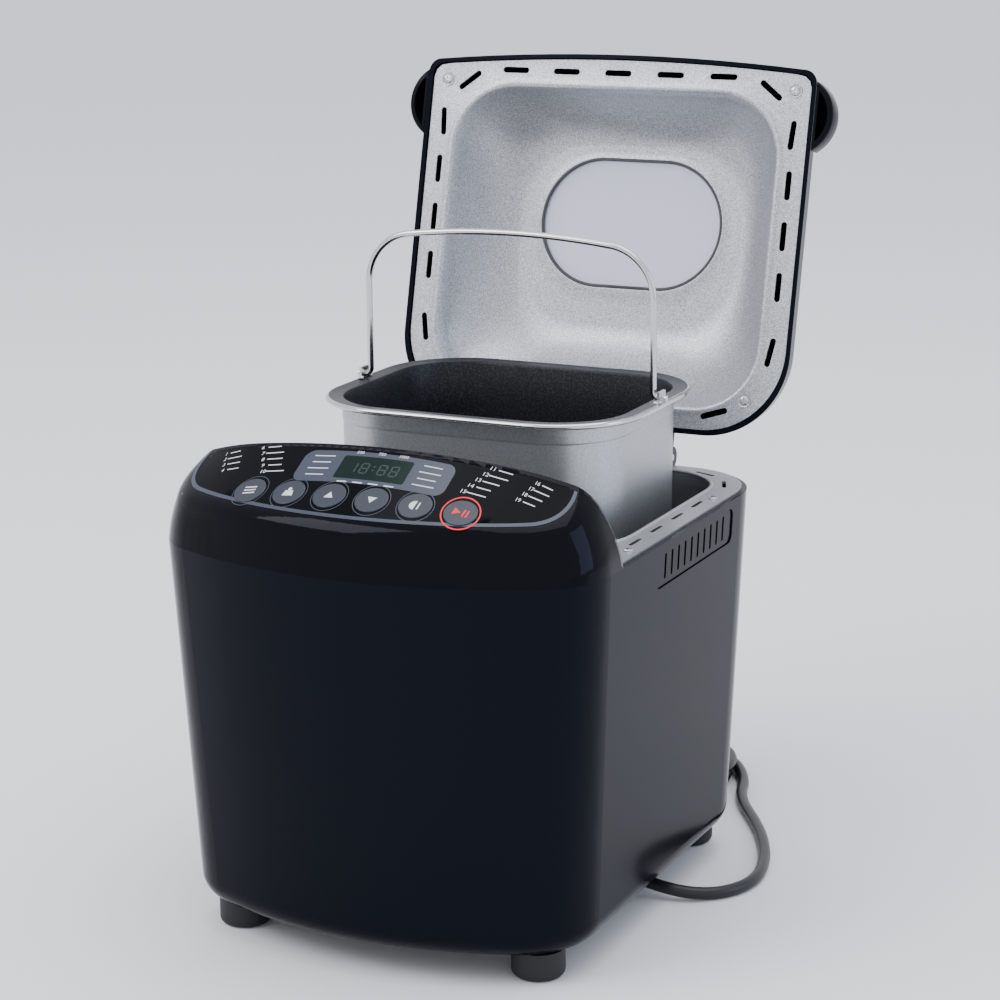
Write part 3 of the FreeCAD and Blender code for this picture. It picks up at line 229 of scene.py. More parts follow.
finishOf = {
    "outer_housing": housingBlack, "lid_shell": housingBlack, "control_fascia": fasciaBlack,
    "panel_overlay": filmBlack, "lid_plate": silver, "vent_grille_left": housingBlack,
    "vent_grille_right": housingBlack, "deck_ring": sheetMetal, "chamber_liner": sheetMetal,
    "pan_socket": sheetMetal, "pan_body": panGrey, "pan_base_ring": panGrey, "kneading_paddle": coating,
    "bail_handle": chrome, "heating_element": heated, "window_inner": glass, "window_outer": glass,
    "window_gasket": sealGrey, "pan_seal": sealGrey, "motor_mounts": sealGrey, "rubber_feet": footRubber,
    "drive_belt": beltRubber, "power_board": laminate, "control_board": laminate, "lcd_lens": displayDark,
    "lcd_module": displayDark, "strain_relief": leadBlack, "power_cord": leadBlack, "cord_coil": leadBlack,
    "mains_plug": leadBlack}
steelNodes = ("deck_screws element_clips temperature_sensor spring_clips chassis_plate "
              "bearing_block drive_shaft drive_coupling motor_pulley motor_shaft motor_body "
              "pan_shaft pan_coupling bail_brackets lid_screws hinge_pins").split()
for name, node in nodes.items():
    finish = finishOf.get(name, zinc if name in steelNodes else blackPlastic)
    if name.startswith("button_"):
        finish = buttonGrey
    node.data.materials.clear()
    node.data.materials.append(finish)
print("materials made")


# shared mesh helpers
def addPiece(name, mesh, finish, body, replaced=(), angle=35.0):
    made = bpy.data.objects.new(name, mesh)
    bpy.context.collection.objects.link(made)
    if not mesh.materials:
        mesh.materials.append(finish)
    mesh.polygons.foreach_set("use_smooth", [True] * len(mesh.polygons))
    mesh.set_sharp_from_angle(angle=math.radians(angle))
    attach(made, body)
    if replaced:
        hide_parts(*replaced)
    return made


def meshFrom(name, points, faces):
    mesh = bpy.data.meshes.new(name)
    mesh.from_pydata([tuple(p) for p in points], [], faces)
    mesh.update()
    return mesh


def loft(name, rings, closed=False, capFirst=True, capLast=True):
    count = len(rings[0])
    points = [p for ring in rings for p in ring]
    faces = []
    spans = len(rings) if closed else len(rings) - 1
    for r in range(spans):
        a, b = r * count, (r + 1) % len(rings) * count
        for i in range(count):
            j = (i + 1) % count
            faces.append((a + i, a + j, b + j, b + i))
    if not closed and capFirst:
        faces.append(tuple(reversed(range(count))))
    if not closed and capLast:
        faces.append(tuple((len(rings) - 1) * count + i for i in range(count)))
    mesh = meshFrom(name, points, faces)
    fixNormals(mesh)
    return mesh


def fixNormals(mesh):
    work = bmesh.new()
    work.from_mesh(mesh)
    bmesh.ops.remove_doubles(work, verts=work.verts, dist=1e-7)
    bmesh.ops.recalc_face_normals(work, faces=work.faces)
    work.to_mesh(mesh)
    work.free()


def arcPoints(cx, cy, radius, start, end, count):
    made = []
    for i in range(count):
        turn = math.radians(start + (end - start) * i / count)
        made.append((cx + radius * math.cos(turn), cy + radius * math.sin(turn)))
    return made


def linePoints(start, end, count):
    return [(start[0] + (end[0] - start[0]) * i / count, start[1] + (end[1] - start[1]) * i / count)
            for i in range(count)]


def roundedRing(cx, cy, halfX, halfY, radius, z, corner=14, side=10):
    radius = min(radius, halfX * 0.999, halfY * 0.999)
    right, top = halfX - radius, halfY - radius
    flat = linePoints((cx + halfX, cy - top), (cx + halfX, cy + top), side)
    flat += arcPoints(cx + right, cy + top, radius, 0, 90, corner)
    flat += linePoints((cx + right, cy + halfY), (cx - right, cy + halfY), side)
    flat += arcPoints(cx - right, cy + top, radius, 90, 180, corner)
    flat += linePoints((cx - halfX, cy + top), (cx - halfX, cy - top), side)
    flat += arcPoints(cx - right, cy - top, radius, 180, 270, corner)
    flat += linePoints((cx - right, cy - halfY), (cx + right, cy - halfY), side)
    flat += arcPoints(cx + right, cy - top, radius, 270, 360, corner)
    return [(x, y, z) for x, y in flat]


def bowedRing(half, front, rear, bow, frontCorner, rearCorner, z, corner=14, side=8, arc=36):
    cornerX = half - frontCorner
    cornerY = front + bow - math.sqrt((bow - frontCorner) ** 2 - cornerX ** 2)
    start = math.degrees(math.atan2(cornerY - front - bow, cornerX))
    flat = arcPoints(cornerX, cornerY, frontCorner, start, 0, corner)
    flat += linePoints((half, cornerY), (half, rear - rearCorner), side)
    flat += arcPoints(half - rearCorner, rear - rearCorner, rearCorner, 0, 90, corner)
    flat += linePoints((half - rearCorner, rear), (rearCorner - half, rear), side * 2)
    flat += arcPoints(rearCorner - half, rear - rearCorner, rearCorner, 90, 180, corner)
    flat += linePoints((-half, rear - rearCorner), (-half, cornerY), side)
    flat += arcPoints(-cornerX, cornerY, frontCorner, 180, 180 - start, corner)
    flat += arcPoints(0, front + bow, bow, -180 - start, start, arc)
    return [(x, y, z) for x, y in flat]


def tubeAlong(name, points, radius, sides=16, closed=False):
    curve = bpy.data.curves.new(name, "CURVE")
    curve.dimensions = "3D"
    curve.bevel_depth = radius
    curve.bevel_resolution = max(1, sides // 4 - 1)
    curve.use_fill_caps = not closed
    line = curve.splines.new("POLY")
    line.points.add(len(points) - 1)
    for place, p in zip(line.points, points):
        place.co = (*p, 1.0)
    line.use_cyclic_u = closed
    holder = bpy.data.objects.new(name, curve)
    bpy.context.collection.objects.link(holder)
    mesh = bpy.data.meshes.new_from_object(holder.evaluated_get(bpy.context.evaluated_depsgraph_get()))
    bpy.data.objects.remove(holder)
    bpy.data.curves.remove(curve)
    fixNormals(mesh)
    return mesh


def lathe(name, profile, centre, steps=48):
    rings = []
    for radius, z in profile:
        rings.append([(centre[0] + radius * math.cos(2 * math.pi * i / steps),
                       centre[1] + radius * math.sin(2 * math.pi * i / steps), centre[2] + z)
                      for i in range(steps)])
    return loft(name, rings)


def joinMeshes(name, meshes):
    work = bmesh.new()
    for mesh in meshes:
        work.from_mesh(mesh)
    joined = bpy.data.meshes.new(name)
    work.to_mesh(joined)
    work.free()
    return joined


def carve(mesh, cutters):
    target = bpy.data.objects.new("carved", mesh)
    tool = bpy.data.objects.new("cutter", joinMeshes("cutter", cutters))
    for thing in (target, tool):
        bpy.context.collection.objects.link(thing)
    cut = target.modifiers.new("cut", "BOOLEAN")
    cut.operation = "DIFFERENCE"
    cut.solver = "EXACT"
    cut.object = tool
    done = bpy.data.meshes.new_from_object(target.evaluated_get(bpy.context.evaluated_depsgraph_get()))
    for thing in (target, tool):
        bpy.data.objects.remove(thing)
    return done


# mains lead: the route on the table, then a tied coil behind the machine
lead = {"radius": 0.0035, "length": 1.33, "coilCentre": (0.034, 0.1565), "innerTurn": 0.0347,
        "outerTurn": 0.0423, "lowLayer": 0.0041, "highLayer": 0.0114}


def leadRoute(size):
    route = [(0.096, -0.0335, 0.009), (0.1109, -0.0351, 0.007), (0.1255, -0.0315, 0.0048), (0.1378,
                                                                                            -0.0229,
                                                                                            0.0036),
             (0.1462, -0.0105, 0.0036), (0.1496, 0.0041, 0.0036), (0.148, 0.022, 0.0036), (0.1414, 0.0451,
                                                                                           0.0036),
             (0.1306, 0.0699, 0.0036), (0.1166, 0.0941, 0.0036), (0.1015, 0.1165, 0.0036), (0.0922,
                                                                                            0.1364,
                                                                                            0.0036),
             (0.0876, 0.1548, 0.0036)]
    cx, cy = size["coilCentre"]
    perTurn = 16
    # (angle, radius, height) stations of the winding; between them the turn runs evenly
    stations = [(18, size["outerTurn"] + 0.0055, size["lowLayer"]), (75, size["outerTurn"], size["lowLayer"]),
                (345, size["outerTurn"], size["lowLayer"]), (420, size["innerTurn"], size["lowLayer"]),
                (720, size["innerTurn"], size["lowLayer"]), (790, size["innerTurn"], size["highLayer"]),
                (1080, size["innerTurn"], size["highLayer"]), (1150, size["outerTurn"], size["highLayer"]),
                (1525, size["outerTurn"], size["highLayer"])]
    for (a0, r0, z0), (a1, r1, z1) in zip(stations, stations[1:]):
        steps = max(2, round((a1 - a0) * perTurn / 360))
        for i in range(steps):
            share = i / steps
            turn = math.radians(a0 + (a1 - a0) * share)
            radius = r0 + (r1 - r0) * share
            route.append((cx + radius * math.cos(turn), cy + radius * math.sin(turn), z0 + (z1 - z0) * share))
    route += [(0.022, 0.1998, 0.0116), (0.004, 0.1995, 0.0120), (-0.0107, 0.1995, 0.0123), (-0.0233,
                                                                                            0.1923,
                                                                                            0.0125),
              (-0.0305, 0.1797, 0.0125), (-0.0305, 0.1725, 0.0125)]
    return route


def makeLead(size):
    curve = bpy.data.curves.new("leadCable", "CURVE")
    curve.dimensions = "3D"
    curve.bevel_depth = size["radius"]
    curve.bevel_resolution = 4
    curve.resolution_u = 6
    curve.use_fill_caps = True
    line = curve.splines.new("NURBS")
    route = leadRoute(size)
    line.points.add(len(route) - 1)
    for place, p in zip(line.points, route):
        place.co = (*p, 1.0)
    line.order_u = 3
    line.use_endpoint_u = True
    curve.materials.append(leadBlack)
    made = bpy.data.objects.new("leadCable", curve)
    bpy.context.collection.objects.link(made)
    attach(made, "housing")
    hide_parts("power_cord", "cord_coil")
    return made, route


leadCable, leadPoints = makeLead(lead)
print("lead made:", len(leadPoints), "points")


# places that the pieces share
hinge = next(j for j in frame["joints"] if j["name"] == "lid_hinge")
hingeAt = Matrix.Translation(Vector(hinge["pos_m"]))
lidTurn = hingeAt @ Matrix.Rotation(math.radians(hinge["range_deg"][0]), 4, "X") @ hingeAt.inverted()
panLow, panHigh = (Vector(c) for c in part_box("pan_body"))
body = {"half": 0.1265, "front": -0.2105, "rear": 0.0885, "bow": 0.235, "frontCorner": 0.044,
        "rearCorner": 0.050, "seam": 0.2185}
mouth = {"halfX": 0.1065, "halfY": 0.092, "corner": 0.038, "centreY": -0.0195}


def polarRing(flat, centre, count):
    made = []
    for i in range(count):
        turn = 2 * math.pi * i / count
        dx, dy = math.cos(turn), math.sin(turn)
        best = None
        for (ax, ay), (bx, by) in zip(flat, flat[1:] + flat[:1]):
            ex, ey = bx - ax, by - ay
            det = dy * ex - dx * ey
            if abs(det) < 1e-14:
                continue
            along = (dx * (ay - centre[1]) - dy * (ax - centre[0])) / det
            reach = (ex * (ay - centre[1]) - ey * (ax - centre[0])) / det
            if -1e-9 <= along <= 1 + 1e-9 and reach > 0 and (best is None or reach > best):
                best = reach
        made.append((centre[0] + dx * best, centre[1] + dy * best))
    return made


def flatten(ring):
    return [(p[0], p[1]) for p in ring]


# lid: pressed inner plate with its dome, slots and window
plate = {"height": 0.2230, "sheet": 0.0010, "half": 0.1226, "front": -0.1332, "rear": 0.0833,
         "bow": 1.297, "frontCorner": 0.008, "rearCorner": 0.0487, "domeHalf": 0.106,
         "domeFront": -0.1165, "domeRear": 0.0715, "domeCorner": 0.040, "depth": 0.042, "topHalf": 0.072,
         "topFront": -0.0865, "topRear": 0.0235, "topCorner": 0.044, "windowX": 0.0598, "windowY": 0.0398,
         "windowCentre": -0.0395, "bead": 0.0007, "slotLong": 0.0086, "slotHalf": 0.0018,
         "slotMiddle": -0.0046, "slotPitch": 0.0338, "rise": 0.0012, "domeShare": 0.97, "points": 240}


def lidSlots(size):
    middle, pitch = size["slotMiddle"], size["slotPitch"]
    made = []
    for s in (-1, 1):
        for y in (-0.0586, -0.0288, 0.0010):
            made.append((s * 0.1140, middle + y, 90))
        made.append((s * 0.1135, middle - 0.0880, 90 + s * 4))
        made.append((s * 0.1130, middle + 0.0393, 90 + s * 10))
        made.append((s * 0.0980, middle - 0.1138, s * 38))
        made.append((s * 0.0818, middle + 0.0776, -s * 18))
    made += [(pitch * i, middle - 0.1209, 0) for i in range(-2, 3)]
    made += [(pitch * i, middle + 0.083, 0) for i in (-1, 0, 1)]
    return made


def obroundCutter(x, y, turn, size, low, high):
    ring = roundedRing(0, 0, size["slotLong"], size["slotHalf"], size["slotHalf"], 0, 6, 2)
    spin = Matrix.Rotation(math.radians(turn), 4, "Z")
    rings = [[spin @ Vector(p) + Vector((x, y, z)) for p in ring] for z in (low, high)]
    return loft("slotCutter", rings)


def domeTop(size):
    return size["height"] + size["rise"] + size["depth"] * size["domeShare"]


def makeLidPlate(size):
    centre = (0.0, size["windowCentre"] + 0.008)
    count = size["points"]
    z0 = size["height"]
    edge = polarRing(flatten(bowedRing(size["half"], size["front"], size["rear"], size["bow"],
                                       size["frontCorner"], size["rearCorner"], 0)), centre, count)
    middle = (size["domeFront"] + size["domeRear"]) / 2
    halfY = (size["domeRear"] - size["domeFront"]) / 2

    def domeRing(out):
        return polarRing(flatten(roundedRing(0, middle, size["domeHalf"] + out, halfY + out,
                                             size["domeCorner"] + out, 0)), centre, count)

    topMiddle = (size["topFront"] + size["topRear"]) / 2
    top = polarRing(flatten(roundedRing(0, topMiddle, size["topHalf"],
                                        (size["topRear"] - size["topFront"]) / 2, size["topCorner"], 0)),
                    centre, count)
    window = polarRing(flatten(roundedRing(0, size["windowCentre"], size["windowX"], size["windowY"],
                                           size["windowY"], 0, 20, 12)), centre, count)
    rings = [[(x, y, z0) for x, y in edge]]
    for out, rise in ((0.0042, 0), (0.0032, -0.3), (0.0020, -0.85), (0.0008, -1.0), (-0.0004, -0.5),
                      (-0.0012, 0.8)):
        rings.append([(x, y, z0 + rise * size["bead"]) for x, y in domeRing(out)])
    start = domeRing(-0.0016)
    steps = 22
    for k in range(1, steps + 1):
        t = k / steps
        rise = size["depth"] * (0.35 * math.sqrt(1 - (1 - t) ** 2) + 0.65 * (1 - (1 - t) ** 1.9))
        rings.append([(a[0] + (b[0] - a[0]) * t, a[1] + (b[1] - a[1]) * t,
                       z0 + size["rise"] + rise * size["domeShare"]) for a, b in zip(start, top)])
    flat = domeTop(size)
    for share, rise in ((0.5, 0), (0.86, 0), (0.94, -0.0003), (0.985, -0.0002), (1.0, 0.0006)):
        rings.append([(a[0] + (b[0] - a[0]) * share, a[1] + (b[1] - a[1]) * share, flat + rise)
                      for a, b in zip(top, window)])
    upper = [[(x, y, z + size["sheet"]) for x, y, z in ring] for ring in rings]
    mesh = loft("lidPlate", rings + upper[::-1], closed=True)
    cutters = [obroundCutter(x, y, turn, size, z0 - 0.003, z0 + 0.004) for x, y, turn in lidSlots(size)]
    mesh = carve(mesh, cutters)
    mesh.transform(lidTurn)
    return addPiece("lidPlate", mesh, silver, "lid", ("lid_plate",), 50)


def makeWindowSeal(size):
    flat = domeTop(size)
    ring = roundedRing(0, size["windowCentre"], size["windowX"] - 0.0006, size["windowY"] - 0.0006,
                       size["windowY"] - 0.0006, flat + 0.0004, 20, 12)
    mesh = tubeAlong("windowSeal", ring, 0.0011, 10, closed=True)
    mesh.transform(lidTurn)
    addPiece("windowSeal", mesh, sealGrey, "lid", (), 60)


makeLidPlate(plate)
makeWindowSeal(plate)
print("lid plate made")


# pan: one pressed shell, bare outside and coated inside, with a rolled bright edge
pan = {"corner": 0.040, "flange": 0.0095, "roll": 0.0016, "wall": 0.0012, "draft": 0.0015, "foot": 0.008,
       "step": 0.00025, "stepDown": 0.013, "hole": 0.008, "floor": 0.0016}


def makePan(size):
    cx, cy = (panLow.x + panHigh.x) / 2, (panLow.y + panHigh.y) / 2
    halfX, halfY = (panHigh.x - panLow.x) / 2 - size["flange"], (panHigh.y - panLow.y) / 2 - size["flange"]
    low, high = panLow.z, panHigh.z
    tall = high - low

    def ring(inset, z):
        return roundedRing(cx, cy, halfX - inset, halfY - inset, size["corner"] - inset, z, 16, 12)

    def hole(z):
        return roundedRing(cx, cy, size["hole"], size["hole"], size["hole"], z, 16, 12)

    def taper(z):
        return size["draft"] * (high - z) / tall

    outer = [hole(low)]
    for k in range(7):
        turn = math.radians(90 * k / 6)
        outer.append(ring(size["draft"] + size["foot"] * (1 - math.sin(turn)),
                          low + size["foot"] * (1 - math.cos(turn))))
    stepZ = high - size["stepDown"]
    for z in (low + 0.05, stepZ - 0.0008, stepZ - 0.0002):
        outer.append(ring(taper(z), z))
    outer += [ring(-size["step"] * 0.7, stepZ + 0.0003), ring(-size["step"], stepZ + 0.0008),
              ring(-size["step"], high - 0.0042), ring(-size["step"] - 0.0008, high - 0.0034)]
    reach = size["flange"] - size["roll"]
    roll = [ring(-reach + 0.0012, high - 0.0031)]
    for k in range(9):
        turn = math.radians(-90 + 180 * k / 8)
        roll.append(ring(-reach - size["roll"] * math.cos(turn),
                         high - size["roll"] + size["roll"] * math.sin(turn)))
    inner = [ring(-reach + 0.0010, high - 0.0004), ring(-0.0012, high - 0.0004), ring(0.0004, high - 0.0008),
             ring(size["wall"], high - 0.0022)]
    for z in (high - 0.03, low + size["floor"] + 0.008):
        inner.append(ring(size["wall"] + taper(z), z))
    for k in range(1, 7):
        turn = math.radians(90 - 90 * k / 6)
        inner.append(ring(size["wall"] + size["draft"] + 0.007 * (1 - math.sin(turn)),
                          low + size["floor"] + 0.007 * (1 - math.cos(turn))))
    inner.append(hole(low + size["floor"]))
    rings = outer + roll + inner
    mesh = loft("panShell", rings, closed=True)
    for finish in (panGrey, chrome, coating):
        mesh.materials.append(finish)
    for face in mesh.polygons:
        c = face.center
        acrossX, acrossY = abs(c.x - cx), abs(c.y - cy)
        cornerX = max(0, acrossX - (halfX - size["corner"]))
        cornerY = max(0, acrossY - (halfY - size["corner"]))
        past = max(acrossX - halfX, acrossY - halfY, math.hypot(cornerX, cornerY) - size["corner"])
        inWall = past < -size["wall"] * 0.6 - taper(c.z) or past < -size["draft"] - 0.009
        if past > reach - 0.0002:
            face.material_index = 1
        elif c.z > high - 0.0031 and past > -0.002:
            face.material_index = 2
        elif inWall and c.z > low + 0.0008:
            face.material_index = 2
    return addPiece("panShell", mesh, panGrey, "pan", ("pan_body",), 40)


makePan(pan)
print("pan made")


# screw heads with a cross recess, set out with Geometry Nodes
screw = {"radius": 0.00275, "height": 0.0011, "crossLong": 0.0021, "crossHalf": 0.00055, "sunk": 0.0002,
         "lidFront": -0.1185, "lidRear": 0.0639, "deckLift": 0.0013, "deckRear": 0.0195, "deckFront": -0.1025}


def screwHead(size):
    r, h = size["radius"], size["height"]
    mesh = lathe("screwHead", [(r, 0), (r, h * 0.35), (r * 0.86, h * 0.8), (r * 0.55, h), (r * 0.2,
                                                                                           h * 1.02)], (0,
                                                                                                        0,
                                                                                                        0),
                 28)
    arms = []
    for long, wide in ((size["crossLong"], size["crossHalf"]), (size["crossHalf"], size["crossLong"])):
        ring = [(long, wide), (-long, wide), (-long, -wide), (long, -wide)]
        arms.append(loft("arm", [[(x, y, z) for x, y in ring] for z in (h * 0.25, h * 2)]))
    return carve(carve(mesh, arms[:1]), arms[1:])


def screwTree():
    tree = bpy.data.node_groups.new("setScrews", "GeometryNodeTree")
    face = tree.interface
    face.new_socket("Geometry", in_out="INPUT", socket_type="NodeSocketGeometry")
    face.new_socket("Head", in_out="INPUT", socket_type="NodeSocketObject")
    face.new_socket("Tilt", in_out="INPUT", socket_type="NodeSocketVector")
    face.new_socket("Finish", in_out="INPUT", socket_type="NodeSocketMaterial")
    face.new_socket("Geometry", in_out="OUTPUT", socket_type="NodeSocketGeometry")
    start, end = tree.nodes.new("NodeGroupInput"), tree.nodes.new("NodeGroupOutput")
    info = tree.nodes.new("GeometryNodeObjectInfo")
    place = tree.nodes.new("GeometryNodeInstanceOnPoints")
    turn = tree.nodes.new("FunctionNodeEulerToRotation")
    real = tree.nodes.new("GeometryNodeRealizeInstances")
    paint = tree.nodes.new("GeometryNodeSetMaterial")
    for a, out, b, entry in ((start, "Head", info, "Object"), (start, "Geometry", place, "Points"),
                             (info, "Geometry", place, "Instance"), (start, "Tilt", turn, "Euler"),
                             (turn, "Rotation", place, "Rotation"), (place, "Instances", real, "Geometry"),
                             (real, "Geometry", paint, "Geometry"), (start, "Finish", paint, "Material"),
                             (paint, "Geometry", end, "Geometry")):
        tree.links.new(a.outputs[out], b.inputs[entry])
    return tree


def setScrews(name, tree, head, places, tilt, finish, ridesOn, replaced):
    holder = bpy.data.objects.new(name + "Points", meshFrom(name + "Points", places, []))
    bpy.context.collection.objects.link(holder)
    spread = holder.modifiers.new("spread", "NODES")
    spread.node_group = tree
    entries = {item.name: item.identifier for item in tree.interface.items_tree if item.in_out == "INPUT"}
    spread[entries["Head"]] = head
    spread[entries["Tilt"]] = tilt
    spread[entries["Finish"]] = finish
    mesh = bpy.data.meshes.new_from_object(holder.evaluated_get(bpy.context.evaluated_depsgraph_get()))
    bpy.data.objects.remove(holder)
    return addPiece(name, mesh, finish, ridesOn, replaced, 30)


def makeScrews(size):
    head = bpy.data.objects.new("screwHead", screwHead(size))
    bpy.context.collection.objects.link(head)
    tree = screwTree()
    lidFlat = [(s * 0.1131, size["lidFront"]) for s in (-1, 1)] + [(s * 0.1, size["lidRear"])
                                                                   for s in (-1, 1)]
    lidPlaces = [lidTurn @ Vector((x, y, plate["height"] - size["sunk"])) for x, y in lidFlat]
    tilt = (math.radians(180 + hinge["range_deg"][0]), 0, 0)
    setScrews("lidScrews", tree, head, lidPlaces, tilt, zinc, "lid", ("lid_screws",))
    deckLevel = body["seam"] + size["deckLift"]
    deckPlaces = [(s * 0.1166, y, deckLevel) for s in (-1, 1) for y in (size["deckRear"], size["deckFront"])]
    setScrews("deckScrews", tree, head, deckPlaces, (0, 0, 0), zinc, "housing", ("deck_screws",))
    rivetX, middleY, rimTop = panHigh.x - 0.0030, (panLow.y + panHigh.y) / 2, panHigh.z + 0.0004
    bracketPlaces = [(s * rivetX, middleY + dy, rimTop) for s in (-1, 1) for dy in (-0.0055, 0.0055)]
    bpy.data.objects.remove(head)
    dimpleProfile = [(0.0042, 0), (0.0040, 0.00035), (0.0034, 0.00030), (0.0030, 0.00002)]
    dimple = []
    for p in lidPlaces:
        ring = lathe("dimple", dimpleProfile, (0, 0, 0), 32)
        ring.transform(Matrix.Translation(p) @ Matrix.Rotation(tilt[0], 4, "X"))
        dimple.append(ring)
    addPiece("screwDimples", joinMeshes("screwDimples", dimple), silver, "lid", ())
    rivetProfile = [(0.0016, 0), (0.0015, 0.0006), (0.0009, 0.0011), (0.0003, 0.0012)]
    rivets = [lathe("rivet", rivetProfile, p, 20) for p in bracketPlaces]
    addPiece("bracketRivets", joinMeshes("bracketRivets", rivets), zinc, "pan", ())


makeScrews(screw)
print("screws set")


# rolled bead round the chamber mouth
bead = {"radius": 0.0011, "lift": 0.0013}


def makeMouthBead(size):
    ring = roundedRing(0, mouth["centreY"], mouth["halfX"] + size["radius"] * 0.7,
                       mouth["halfY"] + size["radius"] * 0.7, mouth["corner"] + size["radius"] * 0.7,
                       body["seam"] + size["lift"], 14, 4)
    mesh = tubeAlong("mouthBead", ring, size["radius"], 12, closed=True)
    addPiece("mouthBead", mesh, sheetMetal, "housing", (), 60)


makeMouthBead(bead)


# lid grips: half-round ears with a finger hollow on their underside
grip = {"reach": 0.0115, "half": 0.0202, "edge": 0.126, "centreY": -0.1043, "low": 0.2215, "tall": 0.0140,
        "round": 0.0030, "wall": 0.0032, "hollow": 0.0095}


def makeGrips(size):
    radius = (size["half"] ** 2 + size["reach"] ** 2) / (2 * size["reach"])
    spread = math.degrees(math.asin(size["half"] / radius))
    centreX = size["edge"] + size["reach"] - radius

    def outline(inset, z, inner=0.0):
        flat = arcPoints(centreX, size["centreY"], radius - inset, -spread, spread, 28)
        last = math.radians(spread)
        flat.append((centreX + (radius - inset) * math.cos(last),
                     size["centreY"] + (radius - inset) * math.sin(last)))
        back = size["edge"] + 0.0002 + inner
        sideways = size["half"] - inset - inner
        corners = [(back, size["centreY"] + sideways, z), (back, size["centreY"] - sideways, z)]
        return [(max(x, back), y, z) for x, y in flat] + corners

    low, high, r = size["low"], size["low"] + size["tall"], size["round"]
    rings = []
    for k in range(5):
        turn = math.radians(90 * k / 4)
        rings.append(outline(r * (1 - math.cos(turn)), high - r + r * math.sin(turn)))
    rings = rings[::-1]
    for k in range(5):
        turn = math.radians(90 * k / 4)
        rings.append(outline(r * 0.5 * (1 - math.cos(turn)), low + r * 0.5 - r * 0.5 * math.sin(turn)))
    rings.append(outline(size["wall"], low, size["wall"] * 0.5))
    rings.append(outline(size["wall"] + 0.0004, low + size["hollow"], size["wall"] * 0.5))
    right = loft("grip", rings)
    left = right.copy()
    left.transform(Matrix.Scale(-1, 4, (1, 0, 0)))
    left.flip_normals()
    mesh = joinMeshes("lidGrips", [right, left])
    mesh.transform(lidTurn)
    addPiece("lidGrips", mesh, gripBlack, "lid", ("lid_grips",), 40)


makeGrips(grip)
print("grips made")


# fascia and overlay: the same solids with their shoulders drawn in towards the top
shoulder = {"from": 0.078, "to": 0.1265, "low": 0.2240, "high": 0.2620, "pull": 0.0125, "longest": 0.0026,
            "seam": 0.2190, "passes": 6}


def drawIn(mesh, size):
    for corner in mesh.vertices:
        x, z = corner.co.x, corner.co.z
        outward = min(1.0, max(0.0, (abs(x) - size["from"]) / (size["to"] - size["from"])))
        rise = min(1.0, max(0.0, (z - size["low"]) / (size["high"] - size["low"])))
        corner.co.x = x - math.copysign(size["pull"] * outward ** 1.3 * rise ** 1.7, x)
    mesh.update()


def shoulderCopy(name, node, finish, size, lift):
    work = bmesh.new()
    work.from_mesh(nodes[node].data)
    bmesh.ops.remove_doubles(work, verts=work.verts, dist=1e-6)
    for _ in range(size["passes"]):
        long = [e for e in work.edges if e.calc_length() > size["longest"]
                and max(abs(v.co.x) for v in e.verts) > size["from"]
                and max(v.co.z for v in e.verts) > size["seam"]]
        if not long:
            break
        bmesh.ops.subdivide_edges(work, edges=long, cuts=1)
        bmesh.ops.triangulate(work, faces=[f for f in work.faces if len(f.verts) > 3])
    mesh = bpy.data.meshes.new(name)
    work.to_mesh(mesh)
    work.free()
    drawIn(mesh, size)
    mesh.transform(Matrix.Translation((0, 0, lift)))
    mesh.materials.clear()
    mesh.materials.append(finish)
    addPiece(name, mesh, finish, "housing", (node,), 32)
    print(name, len(mesh.polygons), "faces")


shoulderCopy("fasciaShell", "control_fascia", fasciaBlack, shoulder, 0.0)
shoulderCopy("panelFilm", "panel_overlay", filmBlack, shoulder, 0.0001)


# printing and keys on the sloping panel
panel = {"crest": 0.2760, "crestY": -0.1505, "slope": 0.55, "crown": 0.403, "print": 0.00012, "ink": 0.00005}


def panelHeight(x, y):
    fall = panel["crown"] - math.sqrt(panel["crown"] ** 2 - x * x)
    return panel["crest"] + panel["slope"] * (y - panel["crestY"]) - fall


def panelFrame(x, y, lift=0.0):
    normal = Vector((x / math.sqrt(panel["crown"] ** 2 - x * x), -panel["slope"], 1)).normalized()
    across = Vector((1, 0, -normal.x / normal.z)).normalized()
    up = normal.cross(across)
    place = Matrix.Translation(Vector((x, y, panelHeight(x, y))) + normal * lift)
    return place @ Matrix((across, up, normal)).transposed().to_4x4()


def onPanel(x, y, lift):
    normal = Vector((x / math.sqrt(panel["crown"] ** 2 - x * x), -panel["slope"], 1)).normalized()
    return Vector((x, y, panelHeight(x, y))) + normal * lift


def ribbonOnPanel(name, path, width, low, high, closed=False):
    rings = [[], [], [], []]
    last = len(path) - 1
    for i, (x, y) in enumerate(path):
        before = path[i - 1] if closed or i else path[i]
        after = path[(i + 1) % len(path)] if closed or i < last else path[i]
        dx, dy = after[0] - before[0], after[1] - before[1]
        long = math.hypot(dx, dy)
        ox, oy = -dy / long * width / 2, dx / long * width / 2
        for ring, side, lift in ((rings[0], 1, low), (rings[1], 1, high), (rings[2], -1, high), (rings[3],
                                                                                                 -1,
                                                                                                 low)):
            ring.append(onPanel(x + ox * side, y + oy * side, lift))
    count = len(path)
    points = [p for i in range(count) for p in (rings[0][i], rings[1][i], rings[2][i], rings[3][i])]
    faces = []
    for i in range(count if closed else last):
        a, b = i * 4, (i + 1) % count * 4
        for k in range(4):
            faces.append((a + k, a + (k + 1) % 4, b + (k + 1) % 4, b + k))
    if not closed:
        faces += [(0, 1, 2, 3), (last * 4 + 3, last * 4 + 2, last * 4 + 1, last * 4)]
    mesh = meshFrom(name, points, faces)
    fixNormals(mesh)
    return mesh


